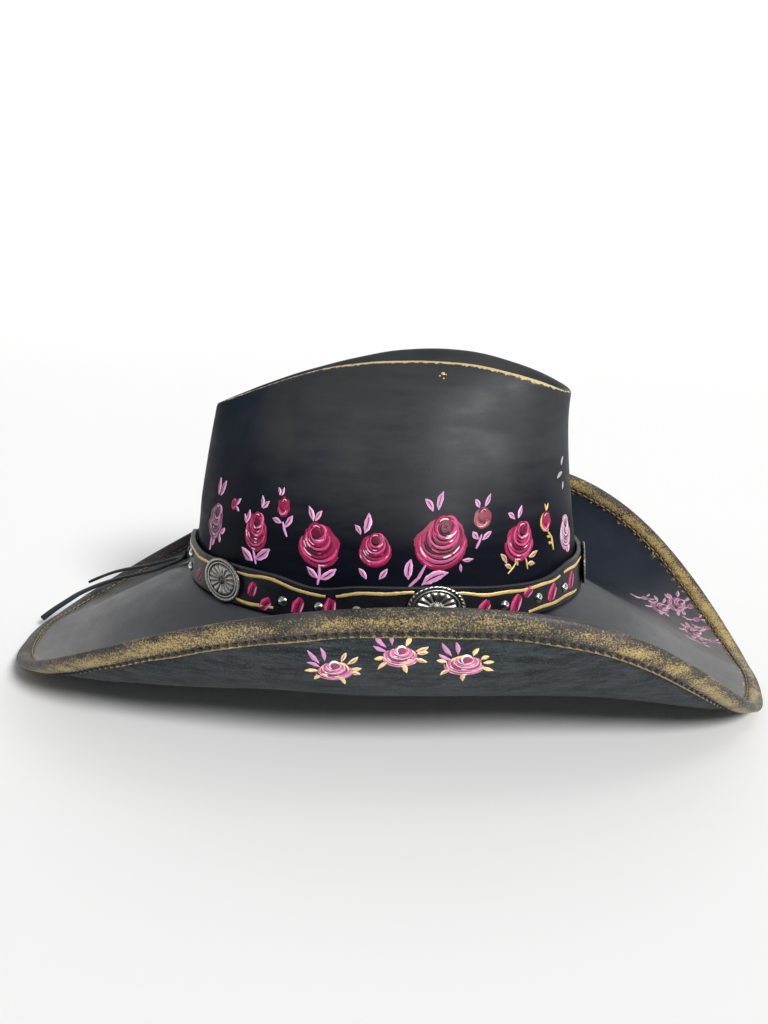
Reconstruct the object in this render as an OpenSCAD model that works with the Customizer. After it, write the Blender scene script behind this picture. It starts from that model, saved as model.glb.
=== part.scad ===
// Western hat with a side-curled brim, a creased crown and a studded leather hatband.
// +X is the front of the hat, +Z is up, and the brim's two tips stand on z = 0.

/* [Brim] */
// Half the length of the brim, from the middle to a tip
brim_half_len = 200.7; // [195:0.1:206]
// Half the width of the brim before it curls
brim_half_wid = 153.4; // [148:0.1:158]
// How far the side edges rise above the tips
side_rise = 86.6; // [80:0.1:92]
// Shift of the widest place towards the front
edge_shift = 18.8; // [12:0.1:22]
// Fullness of the edge at its four corners
edge_full = 6.0; // [2:0.1:8]
// Lean of the widest place towards the back
edge_lean = 8.7; // [4:0.1:11]
// Thickness of the brim leather
brim_thick = 2.4; // [1.8:0.1:3]
// Width of the rim binding under the brim
binding_under = 12.5; // [9:0.5:15]
// Width of the rim binding on top of the brim
binding_top = 10; // [7:0.5:12]

/* [Crown] */
// Length of the crown where it meets the brim
crown_len = 205; // [200:0.5:208]
// Width of the crown where it meets the brim
crown_wid = 167; // [163:0.5:170]
// Height of the crown's root above the table
root_z = 50.6; // [49:0.1:52]
// Height of the two ridges at mid length, above the table
ridge_z = 168.9; // [160:0.1:175]
// Half the length of the ridges
ridge_half_len = 92.8; // [90:0.1:94]
// Half the distance between the ridges at mid length
ridge_half_gap = 24.2; // [20:0.1:28]
// Depth of the crease between the ridges
crease_depth = 20; // [12:0.5:24]
// Depth of the dent in each side of the crown
dent_depth = 8.5; // [5:0.5:11]
// Thickness of the crown leather
crown_thick = 2.2; // [1.8:0.1:2.6]

/* [Hatband] */
// Thickness of the strap
strap_thick = 2.6; // [2:0.1:3]
// Half the strap's width between the conchos
strap_half_wid = 9.2; // [8.5:0.1:9.5]
// Depth of the scallops in the strap's upper edge
scallop = 2.2; // [0:0.1:2.4]
// Half the length of a concho
concho_half_len = 14; // [12:0.1:15]
// Half the height of a concho
concho_half_wid = 10.75; // [9.5:0.05:11.2]
// How far the conchos sit above the strap's middle line
concho_rise = 1.6; // [0:0.1:2]
// Radius of a dome stud
stud_r = 2.5; // [2:0.1:2.8]
// Width of the lace
lace_wid = 4; // [3.5:0.1:4.4]

/* [Hidden] */
$fn = 48;

// Number of places worked out around the crown, the brim and the strap
crown_steps = 76;
brim_steps = 96;
strap_steps = 144;

// Crown centre behind the middle of the brim
crown_x = -1;
// Rim centre height at the tips, and how far round the tips stay level
tip_z = 1.8;
tip_level = 0.012;
// Twist between the edge and the root, so that the brim's fall lines spread to the tips
brim_twist = 14;
// Slope of the brim at the root and at the edge, at the tips and at the sides
root_slope_tip = -26;
root_slope_side = -49;
edge_slope_tip = -21;
edge_slope_side = 99;
// Reach of the brim section's two curve handles
root_handle = 54.5;
edge_handle = 33;
// Binding leather and wire
binding_thick = 1.0;
wire_r = 0.9;
nose = 2.2;
stitch_in = 9;
stitch_in_under = 10.5;
thread_r = 0.45;
// Sweatband
sweat_thick = 1.2;
sweat_height = 34;
crown_foot = 4;
// Strap: clearance to the crown, inward lean over its height, centre height
strap_gap = 0.6;
strap_lean_len = 1.2;
strap_lean_wid = 0.6;
strap_z = 60.9;
strap_end_gap = 5;
// Places of the conchos and studs round the hat, from the front
concho_near_front_at = 289.5;
concho_near_back_at = 226.5;
studs_front_at = [24.5, 38, 50.5];
studs_back_at = [91, 101, 111.5];
tie_studs_at = 158.5;
tie_stud_rise = 3.6;

// ---- Shapes of the brim ----

function unit(v) = v / norm(v);
function side2(a) = pow(sin(a), 2);
function side1(a) = (sqrt(side2(a) + 0.02) - sqrt(0.02)) / (sqrt(1.02) - sqrt(0.02));

// The brim's outer edge at angle a from the front
function edge_pt(a) = [
  brim_half_len * cos(a) + edge_shift * (1 - cos(2 * a)) + 0.6 * (cos(3 * a) - cos(a)),
  brim_half_wid * sin(a) + edge_full * sin(3 * a) - edge_lean * sin(2 * a),
  tip_z + side_rise * max(0, side2(a) - tip_level)
    + 1.5 * (cos(a) - cos(3 * a)) * side2(a) + 0.9 * (cos(6 * a) - cos(4 * a)) * side2(a)
];

// The root, where the brim meets the crown
function root_pt(a) = let (b = a - brim_twist * sin(a))
  [crown_x + crown_len / 2 * cos(b), crown_wid / 2 * sin(b), root_z];

// Plan direction of the section from root to edge
function fall(a) = let (d = edge_pt(a) - root_pt(a)) unit([d.x, d.y, 0]);
function slope(d, s) = [d.x * cos(s), d.y * cos(s), sin(s)];

// Section curve of the brim: four control points
function section(a) = let (
    d = fall(a),
    s0 = root_slope_tip + (root_slope_side - root_slope_tip) * side2(a),
    s1 = edge_slope_tip + (edge_slope_side - edge_slope_tip) * side1(a)
  ) [root_pt(a), root_pt(a) + slope(d, s0) * root_handle,
     edge_pt(a) - slope(d, s1) * edge_handle, edge_pt(a)];

function curve_pt(p, t) = pow(1 - t, 3) * p[0] + 3 * pow(1 - t, 2) * t * p[1]
  + 3 * (1 - t) * t * t * p[2] + t * t * t * p[3];
function curve_dir(p, t) = unit(pow(1 - t, 2) * (p[1] - p[0])
  + 2 * (1 - t) * t * (p[2] - p[1]) + t * t * (p[3] - p[2]));

// A point of the brim: t from 0 at the root to 1 at the edge, off above the middle of the leather
function brim_pt(a, t, off) = let (
    p = section(a), d = fall(a), v = curve_dir(p, t), run = v.x * d.x + v.y * d.y,
    q = curve_pt(p, t) + off * [-v.z * d.x, -v.z * d.y, run]
  ) [q.x, q.y, max(0, q.z)];
// The same, with s the distance in from the edge
function rim_t(s) = 1 - s / (3 * edge_handle);
function rim_pt(a, s, off) = brim_pt(a, rim_t(s), off);

// ---- Shapes of the crown ----

function base_pt(a, inset) = [
  crown_x + (crown_len / 2 - inset) * cos(a),
  (crown_wid / 2 - inset) * sin(a),
  root_z
];

// Height of the ridges at x, where k is -1 at the back end and 1 at the front end
function ridge_height(k) = ridge_z + 11.15 * k - 21.9 * k * k - 3.56 * k * k * k;
function ridge_gap(k) = ridge_half_gap + 7.3 * k - 8.5 * k * k;
function sgn(v) = v < 0 ? -1 : 1;

function ridge_pt(a, inset) = let (k = cos(a)) [
  0.4 + (ridge_half_len - inset) * k,
  (ridge_gap(k) - inset) * sqrt(max(0, 1 - pow(k, 8))) * sgn(sin(a)),
  ridge_height(k) - inset
];

// Share of the way in from the root to the ridge at height v, 0 to 1
function draw_in(a, v) = let (f = pow(max(cos(a), 0), 4))
  (1 - f) * pow(v, 1.35 + 1.3 * side2(a)) + f * sin(114 * pow(v, 1.6)) / sin(114);

function wall_pt(a, v, inset) = let (
    b = base_pt(a, inset), r = ridge_pt(a, inset), h = draw_in(a, v),
    q = [b.x + (r.x - b.x) * h, b.y + (r.y - b.y) * h, b.z + (r.z - b.z) * v],
    dx = (q.x - 20) / 48, dz = (q.z - 132) / 28, fade = min(1, 4 * max(0, 1 - v)),
    dent = dent_depth * exp(-pow(dx, 4) - dz * dz) * sqrt(side2(a)) * fade
  ) [q.x, q.y - sgn(q.y) * dent, q.z];
// The wall at a height above the root
function wall_at(a, height, inset) = let (v = max(0, height) / (ridge_pt(a, inset).z - root_z))
  wall_pt(a, v, inset) + [0, 0, min(0, height)];

// The top between the ridges: w from 0 at the ridge to 1 at the bottom of the crease
function crease_pt(a, w, under) = let (
    r = ridge_pt(a, 0), x = 0.4 + (r.x - 0.4) * (1 - 0.18 * w), k = (x - 0.4) / ridge_half_len
  ) [x, r.y * (1 - 0.96 * w),
     ridge_height(k) - under - crease_depth * (1 - 0.55 * pow(k, 4)) * (1 - cos(180 * w)) / 2];

// ---- Meshes from rings of points ----

// Faces between rings i and i + 1 of n points
function band_faces(i, i2, n) = [
  for (j = [0:n - 1]) let (j2 = (j + 1) % n)
    each [[i * n + j, i2 * n + j2, i * n + j2], [i * n + j, i2 * n + j, i2 * n + j2]]
];

// Closed both ways, like a tyre
module tyre_mesh(rings) {
  m = len(rings);
  n = len(rings[0]);
  polyhedron(
    points = [for (r = rings) each r],
    faces = [for (i = [0:m - 1]) each band_faces(i, (i + 1) % m, n)]
  );
}

// Open rings capped flat at both ends, like a bent bar
module bar_mesh(rings) {
  m = len(rings);
  n = len(rings[0]);
  polyhedron(
    points = [for (r = rings) each r],
    faces = [
      for (i = [0:m - 2]) each band_faces(i, i + 1, n),
      for (j = [1:n - 2]) [0, j, j + 1],
      for (j = [1:n - 2]) [(m - 1) * n, (m - 1) * n + j + 1, (m - 1) * n + j]
    ]
  );
}

// Strip that closes a ring across its own middle line, from point j to point n - j
function zip_faces(base, n, flip) = [
  for (j = [0:n / 2 - 1]) let (
      p = base + j, q = base + j + 1, r = base + (n - j - 1), s = base + (n - j) % n,
      tri = j == 0 ? [[p, q, r]] : j == n / 2 - 1 ? [[p, q, s]] : [[p, q, r], [p, r, s]]
    )
    each flip ? [for (t = tri) [t[2], t[1], t[0]]] : tri
];

module cup_mesh(rings) {
  m = len(rings);
  n = len(rings[0]);
  polyhedron(
    points = [for (r = rings) each r],
    faces = [
      for (i = [0:m - 2]) each band_faces(i, i + 1, n),
      each zip_faces(0, n, false),
      each zip_faces((m - 1) * n, n, true)
    ]
  );
}

function turn(n) = [for (i = [0:n - 1]) 360 * i / n];

// ---- Hat body ----

// Rings of one face of the crown: the side wall, and the top panel from the ridge into the crease
function side_skin(inset) = [
  [for (a = turn(crown_steps)) base_pt(a, inset) - [0, 0, crown_foot]],
  for (i = [0:11]) [for (a = turn(crown_steps)) wall_pt(a, pow(i / 11, 0.9), inset)]
];
function top_skin(inset, under, steps) = [
  [for (a = turn(crown_steps)) ridge_pt(a, inset)],
  for (w = steps) [for (a = turn(crown_steps)) crease_pt(a, w, under)]
];
function reversed(v) = [for (i = [len(v) - 1:-1:0]) v[i]];

module crown_side() {
  color("#2b2f39") tyre_mesh([each side_skin(0), each reversed(side_skin(crown_thick))]);
}

// The leather's slope on the crease's sides makes its upright thickness larger
module crown_top() {
  outer = top_skin(0, 0, [0.12, 0.35, 0.65, 1]);
  inner = top_skin(crown_thick, 1.5 * crown_thick, [0.35, 0.65, 1]);
  color("#2b2f39") cup_mesh([each reversed(inner), each outer]);
}

// Thread in the inner corner of the seam between the side and the top
module crown_thread() {
  color("#1d1e22") tyre_mesh([for (k = [0:4]) let (u = 360 * k / 5, r = thread_r)
    [for (a = turn(crown_steps)) ridge_pt(a, crown_thick + 0.2 - r * cos(u)) + [0, 0, r * sin(u)]]]);
}

module brim_leather() {
  steps = [for (i = [0:10]) rim_t(nose + 1) * i / 10];
  top = [for (t = steps) [for (a = turn(brim_steps)) brim_pt(a, t, brim_thick / 2)]];
  low = [for (t = steps) [for (a = turn(brim_steps)) brim_pt(a, t, -brim_thick / 2)]];
  m = len(steps);
  color("#4a4a4d") tyre_mesh([for (i = [0:m - 1]) low[i], for (i = [0:m - 1]) top[m - 1 - i]]);
}

// Leather strip folded round the edge over the wire
module edge_binding() {
  in = brim_thick / 2 + 0.05;
  out = in + binding_thick;
  profile = [
    [binding_under, -in], [binding_under, -out], [nose, -out], [0.65, -0.7 * out], [0, 0],
    [0.65, 0.7 * out], [nose, out], [binding_top, out], [binding_top, in],
    [nose, in], [1.25, 0.6 * in], [1.05, -0.3 * in], [nose, -in]
  ];
  color("#a58f5c") tyre_mesh([for (q = profile) [for (a = turn(brim_steps)) rim_pt(a, q[0], q[1])]]);
}

// A round line that follows the rim at depth s and offset off
module rim_line(s, off, r, sides) {
  tyre_mesh([for (k = [0:sides - 1]) let (u = -360 * k / sides)
    [for (a = turn(brim_steps)) rim_pt(a, s + r * cos(u), off + r * sin(u))]]);
}

module brim_wire() {
  color("#8a8d92") rim_line(nose, 0, wire_r, 6);
}

module edge_thread_top() {
  color("#1d1e22") rim_line(stitch_in, brim_thick / 2 + binding_thick + 0.1, thread_r, 5);
}

module edge_thread_under() {
  color("#1d1e22") rim_line(stitch_in_under, -brim_thick / 2 - binding_thick - 0.1, thread_r, 5);
}

// A round line that follows the inside or outside of the crown's foot
module foot_line(inset, z, r) {
  tyre_mesh([for (k = [0:4]) let (u = 360 * k / 5)
    [for (a = turn(crown_steps)) base_pt(a, inset - r * cos(u)) + [0, 0, z - root_z + r * sin(u)]]]);
}

// Thread that sews the crown's foot to the brim
module root_thread() {
  color("#1d1e22") foot_line(0.15, root_z + 2.6, thread_r);
}

module sweatband() {
  in = crown_thick + 0.1;
  rise = [for (i = [0:4]) sweat_height * i / 4 - crown_foot];
  function hoop(inset, z) = [for (a = turn(crown_steps)) wall_at(a, z, inset)];
  color("#3a2f28") tyre_mesh([
    for (z = rise) hoop(in, z),
    for (i = [0:4]) hoop(in + sweat_thick, rise[4 - i])
  ]);
}

module sweatband_thread() {
  color("#77695a") foot_line(crown_thick + sweat_thick + 0.1, root_z - crown_foot + 2.5, thread_r);
}

// Flat bow that covers the sweatband's joint at the back
module sweatband_bow() {
  wing = 9;
  color("#1d1e22")
    translate([crown_x - crown_len / 2 + crown_thick + sweat_thick + 0.9, 0, root_z + 8])
      rotate([90, 0, 90]) {
        linear_extrude(1) {
          polygon([[0, -1.5], [wing, -4], [wing, 4], [0, 1.5], [-wing, 4], [-wing, -4]]);
        }
        cylinder(h = 1.8, r = 2.4);
      }
}

// ---- Hatband ----

function strap_a(u) = crown_len / 2 + strap_gap - strap_lean_len * u;
function strap_b(u) = crown_wid / 2 + strap_gap - strap_lean_wid * u;
function ring_gap(a, c) = let (d = abs(a - c) % 360) min(d, 360 - d);
concho_at = [0, concho_near_front_at, concho_near_back_at,
             360 - concho_near_back_at, 360 - concho_near_front_at];
function strap_mid(a) = strap_z + 0.8 * cos(2 * a);

// The strap's upper edge is cut in scallops: wide round the conchos, narrow half way between them
function strap_top(a) = strap_half_wid + scallop * lookup(ring_gap(a, 0), [
  [0, 0.55], [14, 0.7], [20, 0.85], [26, 0.3], [32, -0.6], [38, -0.8], [48, -0.35], [56, 0.1],
  [63, 0.7], [70.5, 0.95], [85, 0.9], [92, 0.7], [98, -0.25], [102, -0.65], [106, -0.35],
  [113, 0.8], [118, 0.9], [133.5, 0.6], [148, -0.2], [165, 0.1], [180, 0.1]
]);
// The lower edge stays just clear of the brim
function strap_low(a) = min(9.4, strap_mid(a) - root_z - brim_thick / 2 - 0.4);

// A point of the strap: out from its inner face, up from its middle line
function strap_pt(a, out, up) = let (u = 0.5 + up / (2 * strap_half_wid))
  [crown_x + (strap_a(u) + out) * cos(a), (strap_b(u) + out) * sin(a), strap_mid(a) + up];
// Heading of the strap's outer face, and how far it leans back
function heading(a) = atan2(sin(a) / strap_b(0.5), cos(a) / strap_a(0.5));
function lean(a) = let (h = heading(a))
  atan((strap_lean_len * cos(a) * cos(h) + strap_lean_wid * sin(a) * sin(h)) / (2 * strap_half_wid));

module band_strap() {
  first = 180 + strap_end_gap;
  span = 360 - 2 * strap_end_gap;
  color("#15161c") bar_mesh([
    for (i = [0:strap_steps])
      let (a = first + span * i / strap_steps, h = strap_top(a), g = strap_low(a))
        [strap_pt(a, 0, -g + 0.3), strap_pt(a, 0, h - 0.3), strap_pt(a, 0.5, h),
         strap_pt(a, strap_thick - 0.5, h), strap_pt(a, strap_thick, h - 0.5),
         strap_pt(a, strap_thick, -g + 0.5), strap_pt(a, strap_thick - 0.5, -g),
         strap_pt(a, 0.5, -g)]
  ]);
}

// Puts a fitting on the strap's outer face, its back towards the crown
module on_strap(a, up = 0, out = 0.15) {
  translate(strap_pt(a, strap_thick + out, up))
    rotate([90 - lean(a), 0, heading(a) + 90])
      children();
}

oval_sides = 40;
module oval(a, b) {
  polygon([for (i = [0:oval_sides - 1]) let (u = 360 * i / oval_sides) [a * cos(u), b * sin(u)]]);
}

module concho(a) {
  rim = 1.9;
  petals = 14;
  color("#b9b7b0") on_strap(a, concho_rise) {
    linear_extrude(0.9) oval(concho_half_len, concho_half_wid);
    translate([0, 0, 0.9]) linear_extrude(0.9) difference() {
      oval(concho_half_len, concho_half_wid);
      oval(concho_half_len - rim, concho_half_wid - rim);
    }
    translate([0, 0, 0.9]) linear_extrude(0.6) difference() {
      oval(concho_half_len - rim - 0.7, concho_half_wid - rim - 0.7);
      for (i = [0:petals - 1]) rotate(360 * i / petals + 13) translate([2, -0.3]) square([12, 0.6]);
    }
    cylinder(h = 2.2, r = 2.1);
  }
}

module concho_front() { concho(0); }
module concho_near_front() { concho(concho_near_front_at); }
module concho_near_back() { concho(concho_near_back_at); }
module concho_far_back() { concho(360 - concho_near_back_at); }
module concho_far_front() { concho(360 - concho_near_front_at); }

// Post and flat head behind each concho, sunk in the strap
module concho_screws() {
  color("#8a8d92") for (a = concho_at) on_strap(a, concho_rise, 0) {
    translate([0, 0, -2.2]) cylinder(h = 2.2, r = 1.5);
    translate([0, 0, -2.2]) cylinder(h = 0.6, r = 3);
  }
}

// Domed stud with one prong driven into the strap
module stud(a, up) {
  dome = stud_r * 1.15;
  on_strap(a, up) {
    intersection() {
      translate([0, 0, 1.5 - dome]) sphere(r = dome);
      cylinder(h = 3, r = stud_r);
    }
    translate([0, 0, -1.6]) cylinder(h = 1.8, r = 0.6);
  }
}

module stud_group(places) {
  color("#c8c8c4") for (a = places) stud(a, -0.8);
}

module studs_near_front() { stud_group([for (a = studs_front_at) 360 - a]); }
module studs_near_back() { stud_group([for (a = studs_back_at) 360 - a]); }
module studs_far_back() { stud_group(studs_back_at); }
module studs_far_front() { stud_group(studs_front_at); }
module studs_tie() {
  color("#c8c8c4")
    for (a = [tie_studs_at, 360 - tie_studs_at], up = [-1, 1]) stud(a, up * tie_stud_rise);
}

// ---- Tie at the back ----

function cross3(a, b) = cross(a, b);
function path_dir(p, i) = unit(p[min(i + 1, len(p) - 1)] - p[max(i - 1, 0)]);

// Flat lace along a path: half width across the path and level, half thickness upright
module lace(path, half_w, half_t, sides = 8) {
  color("#141c2b") bar_mesh([
    for (i = [0:len(path) - 1]) let (
        d = path_dir(path, i), s = unit(cross3([0, 0, 1], d)), n = cross3(d, s)
      )
      [for (k = [0:sides - 1]) let (u = 360 * k / sides)
        path[i] + s * (half_w * cos(u)) + n * (half_t * sin(u))]
  ]);
}

// Bridge across the gap between the strap's ends, each end let into the leather
module tie_lace() {
  out = strap_thick + 1.1;
  path = [strap_pt(168, 1.4, -2), strap_pt(169, out, -2), for (a = [171:3:189]) strap_pt(a, out, -2),
          strap_pt(191, out, -2), strap_pt(192, 1.4, -2)];
  color("#141c2b") bar_mesh([
    for (i = [0:len(path) - 1]) let (d = path_dir(path, i), n = unit(cross3(d, [0, 0, 1])))
      [for (k = [0:7]) let (u = 360 * k / 8) path[i] + [0, 0, 1.9 * cos(u)] + n * (0.9 * sin(u))]
  ]);
}

knot_at = [-109.6, 4, 56.5];
module lace_knot() {
  color("#141c2b") translate(knot_at) {
    rotate([90, 0, 90]) rotate_extrude() translate([2.2, 0]) circle(r = 1.3);
    rotate([70, 0, 0]) rotate_extrude() translate([1.2, 0]) circle(r = 1.15);
  }
}

// Free tails of the lace: stiff, arched over the far half of the back brim
short_route = [
  [-111.3, 4.6, 55.2], [-114, 8, 50.5], [-120, 15, 47], [-128.5, 23.5, 42.5], [-139, 32.5, 37],
  [-149.5, 40.5, 32], [-161, 47.5, 27.5], [-172.5, 52.5, 23], [-182, 55.5, 18.5], [-190, 56.5, 14.5]
];
long_route = [
  [-111.3, 3.4, 55.2], [-114, 5.5, 50.5], [-120, 12, 46], [-128.5, 19.5, 40.5], [-139, 26.5, 34.5],
  [-149.5, 32, 30], [-160, 35.5, 26], [-170, 36.5, 22.5], [-179, 34.5, 19], [-187, 30.5, 15.5],
  [-193, 24.5, 12], [-198, 17, 9], [-201.5, 9, 6.5]
];

// Point at share f of the way from p[i] to p[i + 1] on a smooth curve through all of p
function smooth_pt(p, i, f) = let (
    b = p[i], c = p[i + 1],
    a = i > 0 ? p[i - 1] : 2 * b - c,
    d = i + 2 < len(p) ? p[i + 2] : 2 * c - b
  ) b + 0.5 * f * (c - a) + 0.5 * f * f * (2 * a - 5 * b + 4 * c - d)
    + 0.5 * f * f * f * (3 * b - a - 3 * c + d);
function smooth_path(p, per) = [
  for (i = [0:len(p) - 2], k = [0:per - 1]) smooth_pt(p, i, k / per),
  p[len(p) - 1]
];

module lace_tail_short() {
  lace(smooth_path(short_route, 3), lace_wid / 2, 0.9);
}

module lace_tail_long() {
  lace(smooth_path(long_route, 3), lace_wid / 2, 0.9);
}

crown_side();
crown_top();
crown_thread();
brim_leather();
edge_binding();
brim_wire();
edge_thread_top();
edge_thread_under();
root_thread();
sweatband();
sweatband_thread();
sweatband_bow();
band_strap();
concho_front();
concho_near_front();
concho_near_back();
concho_far_back();
concho_far_front();
concho_screws();
studs_near_front();
studs_near_back();
studs_far_back();
studs_far_front();
studs_tie();
tie_lace();
lace_knot();
lace_tail_short();
lace_tail_long();
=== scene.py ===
# Western hat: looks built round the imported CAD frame. Lengths below are in mm until a mesh is made.
import math
import random

import bpy
import bmesh
import numpy as np
from mathutils import Matrix, Vector


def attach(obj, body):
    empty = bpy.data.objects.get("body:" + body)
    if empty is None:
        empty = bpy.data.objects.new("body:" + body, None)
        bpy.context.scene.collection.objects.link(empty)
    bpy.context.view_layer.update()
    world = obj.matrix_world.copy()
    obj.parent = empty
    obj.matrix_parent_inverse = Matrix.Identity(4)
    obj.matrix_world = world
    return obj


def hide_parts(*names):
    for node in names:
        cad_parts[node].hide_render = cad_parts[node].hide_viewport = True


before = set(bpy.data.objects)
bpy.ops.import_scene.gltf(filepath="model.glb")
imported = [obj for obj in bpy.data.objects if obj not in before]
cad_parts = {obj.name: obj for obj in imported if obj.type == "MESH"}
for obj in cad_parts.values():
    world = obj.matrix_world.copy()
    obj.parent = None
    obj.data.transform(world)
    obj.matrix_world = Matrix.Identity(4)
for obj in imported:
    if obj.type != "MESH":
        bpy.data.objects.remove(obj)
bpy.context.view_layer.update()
MM = 0.001
RNG = random.Random(7)

# ---------------------------------------------------------------- camera

PIVOT = np.array([0.0, 0.0, 101.8])
AIM_SIDE, AIM_Z = -1.88, 84.7
CAM_DISTANCE, CAM_AZIMUTH, CAM_ELEVATION, CAM_ROLL = 623.5, 7.05, 13.62, 1.38
LENS_MM, SENSOR_MM = 41.24, 36.0


def make_camera():
    az, el, roll = np.radians([CAM_AZIMUTH, CAM_ELEVATION, CAM_ROLL])
    back = np.array([np.sin(az) * np.cos(el), -np.cos(az) * np.cos(el), np.sin(el)])
    eye = PIVOT + back * CAM_DISTANCE
    aim = np.array([AIM_SIDE * np.cos(az), AIM_SIDE * np.sin(az), AIM_Z])
    ahead = (aim - eye) / np.linalg.norm(aim - eye)
    right = np.cross(ahead, [0, 0, 1])
    right /= np.linalg.norm(right)
    up = np.cross(right, ahead)
    tilted_right = right * np.cos(roll) + up * np.sin(roll)
    tilted_up = -right * np.sin(roll) + up * np.cos(roll)
    data = bpy.data.cameras.new("camera")
    data.lens, data.sensor_width = LENS_MM, SENSOR_MM
    camera = bpy.data.objects.new("camera", data)
    turn = Matrix((tilted_right, tilted_up, -ahead)).transposed()
    camera.matrix_world = Matrix.Translation(Vector(eye * MM)) @ turn.to_4x4()
    bpy.context.scene.collection.objects.link(camera)
    bpy.context.scene.camera = camera


make_camera()

# ---------------------------------------------------------------- shape of the brim

ROOT_Z, CROWN_X = 50.6, -1.0
CROWN_A, CROWN_B = 102.5, 83.5
TIP_Z, TIP_LEVEL = 1.8, 0.012
BRIM_TWIST = 14.0
ROOT_HANDLE, EDGE_HANDLE = 54.5, 33.0
BRIM_THICK, BINDING_THICK, NOSE = 2.4, 1.0, 2.2


def plus(*parts):
    """Points from their x, y and z, whichever of these are arrays."""
    return np.stack(np.broadcast_arrays(*parts), -1)


def unit(v):
    """Each vector made 1 long."""
    return v / np.linalg.norm(v, axis=-1, keepdims=True)


def sides_only(a):
    """0 at the tips, 1 at the sides, with a soft start."""
    return (np.sqrt(np.sin(a) ** 2 + 0.02) - math.sqrt(0.02)) / (math.sqrt(1.02) - math.sqrt(0.02))


def edge_pt(a):
    """The brim's outer edge: a is the turn from the front, in radians, here and below."""
    s2 = np.sin(a) ** 2
    x = 200.7 * np.cos(a) + 18.8 * (1 - np.cos(2 * a)) + 0.6 * (np.cos(3 * a) - np.cos(a))
    y = 153.4 * np.sin(a) + 6.0 * np.sin(3 * a) - 8.7 * np.sin(2 * a)
    ripple = 1.5 * (np.cos(a) - np.cos(3 * a)) + 0.9 * (np.cos(6 * a) - np.cos(4 * a))
    return plus(x, y, TIP_Z + 86.6 * np.maximum(0, s2 - TIP_LEVEL) + ripple * s2)


def root_pt(a):
    """Where the brim leaves the crown."""
    b = a - math.radians(BRIM_TWIST) * np.sin(a)
    return plus(CROWN_X + CROWN_A * np.cos(b), CROWN_B * np.sin(b), ROOT_Z)


def brim_pt(a, t, off=0.0):
    """A point of the brim: t from root 0 to edge 1, off above the middle of the leather."""
    a, t, off = (np.asarray(v, float) for v in np.broadcast_arrays(a, t, off))
    root, edge = root_pt(a), edge_pt(a)
    fall = edge - root
    fall[..., 2] = 0
    fall = unit(fall)
    s0 = np.radians(-26 - 23 * np.sin(a) ** 2)
    s1 = np.radians(-21 + 120 * sides_only(a))
    out0 = fall * np.cos(s0)[..., None] + plus(0, 0, np.sin(s0))
    out1 = fall * np.cos(s1)[..., None] + plus(0, 0, np.sin(s1))
    p = [root, root + out0 * ROOT_HANDLE, edge - out1 * EDGE_HANDLE, edge]
    u, w = t[..., None], 1 - t[..., None]
    q = w**3 * p[0] + 3 * w * w * u * p[1] + 3 * w * u * u * p[2] + u**3 * p[3]
    v = w * w * (p[1] - p[0]) + 2 * w * u * (p[2] - p[1]) + u * u * (p[3] - p[2])
    v = unit(v)
    run = (v * fall).sum(-1, keepdims=True)
    q = q + off[..., None] * (np.array([0, 0, 1]) * run - fall * v[..., 2:])
    q[..., 2] = np.maximum(0, q[..., 2])
    return q


def run_along(points):
    """Length along a line of points, at each of them."""
    return np.append(0, np.cumsum(np.linalg.norm(np.diff(points, axis=0), axis=1)))


def rim_pt(a, s, off):
    """A point of the brim near its edge, with s the distance in from it."""
    return brim_pt(a, 1 - np.asarray(s, float) / (3 * EDGE_HANDLE), off)


# ---------------------------------------------------------------- shape of the crown


RIDGE_X, RIDGE_A = 0.4, 92.8
FRONT_SWELL = math.radians(114)


def ridge_height(k):
    """Height of the ridge over the table: k from -1 at its back end to 1 at its front end."""
    return 168.9 + 11.15 * k - 21.9 * k * k - 3.56 * k**3


def ridge_pt(a, inset=0.0):
    """The crown's top edge, or a line inside it."""
    k = np.cos(a)
    gap = 24.2 + 7.3 * k - 8.5 * k * k - inset
    y = gap * np.sqrt(np.maximum(0, 1 - k**8)) * np.where(np.sin(a) < 0, -1, 1)
    return plus(RIDGE_X + (RIDGE_A - inset) * k, y, ridge_height(k) - inset)


def base_pt(a, inset=0.0):
    """The oval of the crown's foot, or one inside it."""
    return plus(CROWN_X + (CROWN_A - inset) * np.cos(a), (CROWN_B - inset) * np.sin(a), ROOT_Z)


def wall_pt(a, v, inset=0.0):
    """The crown's wall: v from 0 at the root to 1 at the ridge."""
    a, v = (np.asarray(x, float) for x in np.broadcast_arrays(a, v))
    base, ridge, s2 = base_pt(a, inset), ridge_pt(a, inset), np.sin(a) ** 2
    front = np.clip(np.cos(a), 0, 1) ** 4
    swell = np.sin(FRONT_SWELL * np.clip(v, 0, 1) ** 1.6) / math.sin(FRONT_SWELL)
    h = (1 - front) * np.clip(v, 0, 1) ** (1.35 + 1.3 * s2) + front * swell
    q = base + (ridge - base) * plus(h, h, v)
    dx, dz = (q[..., 0] - 20) / 48, (q[..., 2] - 132) / 28
    fade = np.clip(4 * (1 - v), 0, 1)
    q[..., 1] -= np.sign(q[..., 1]) * 8.5 * np.exp(-(dx**4) - dz * dz) * np.sqrt(s2) * fade
    return q


def wall_at(a, z, inset=0.0):
    """The crown's wall at height z above the table."""
    return wall_pt(a, (z - ROOT_Z) / (ridge_pt(a, inset)[..., 2] - ROOT_Z), inset)


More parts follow.
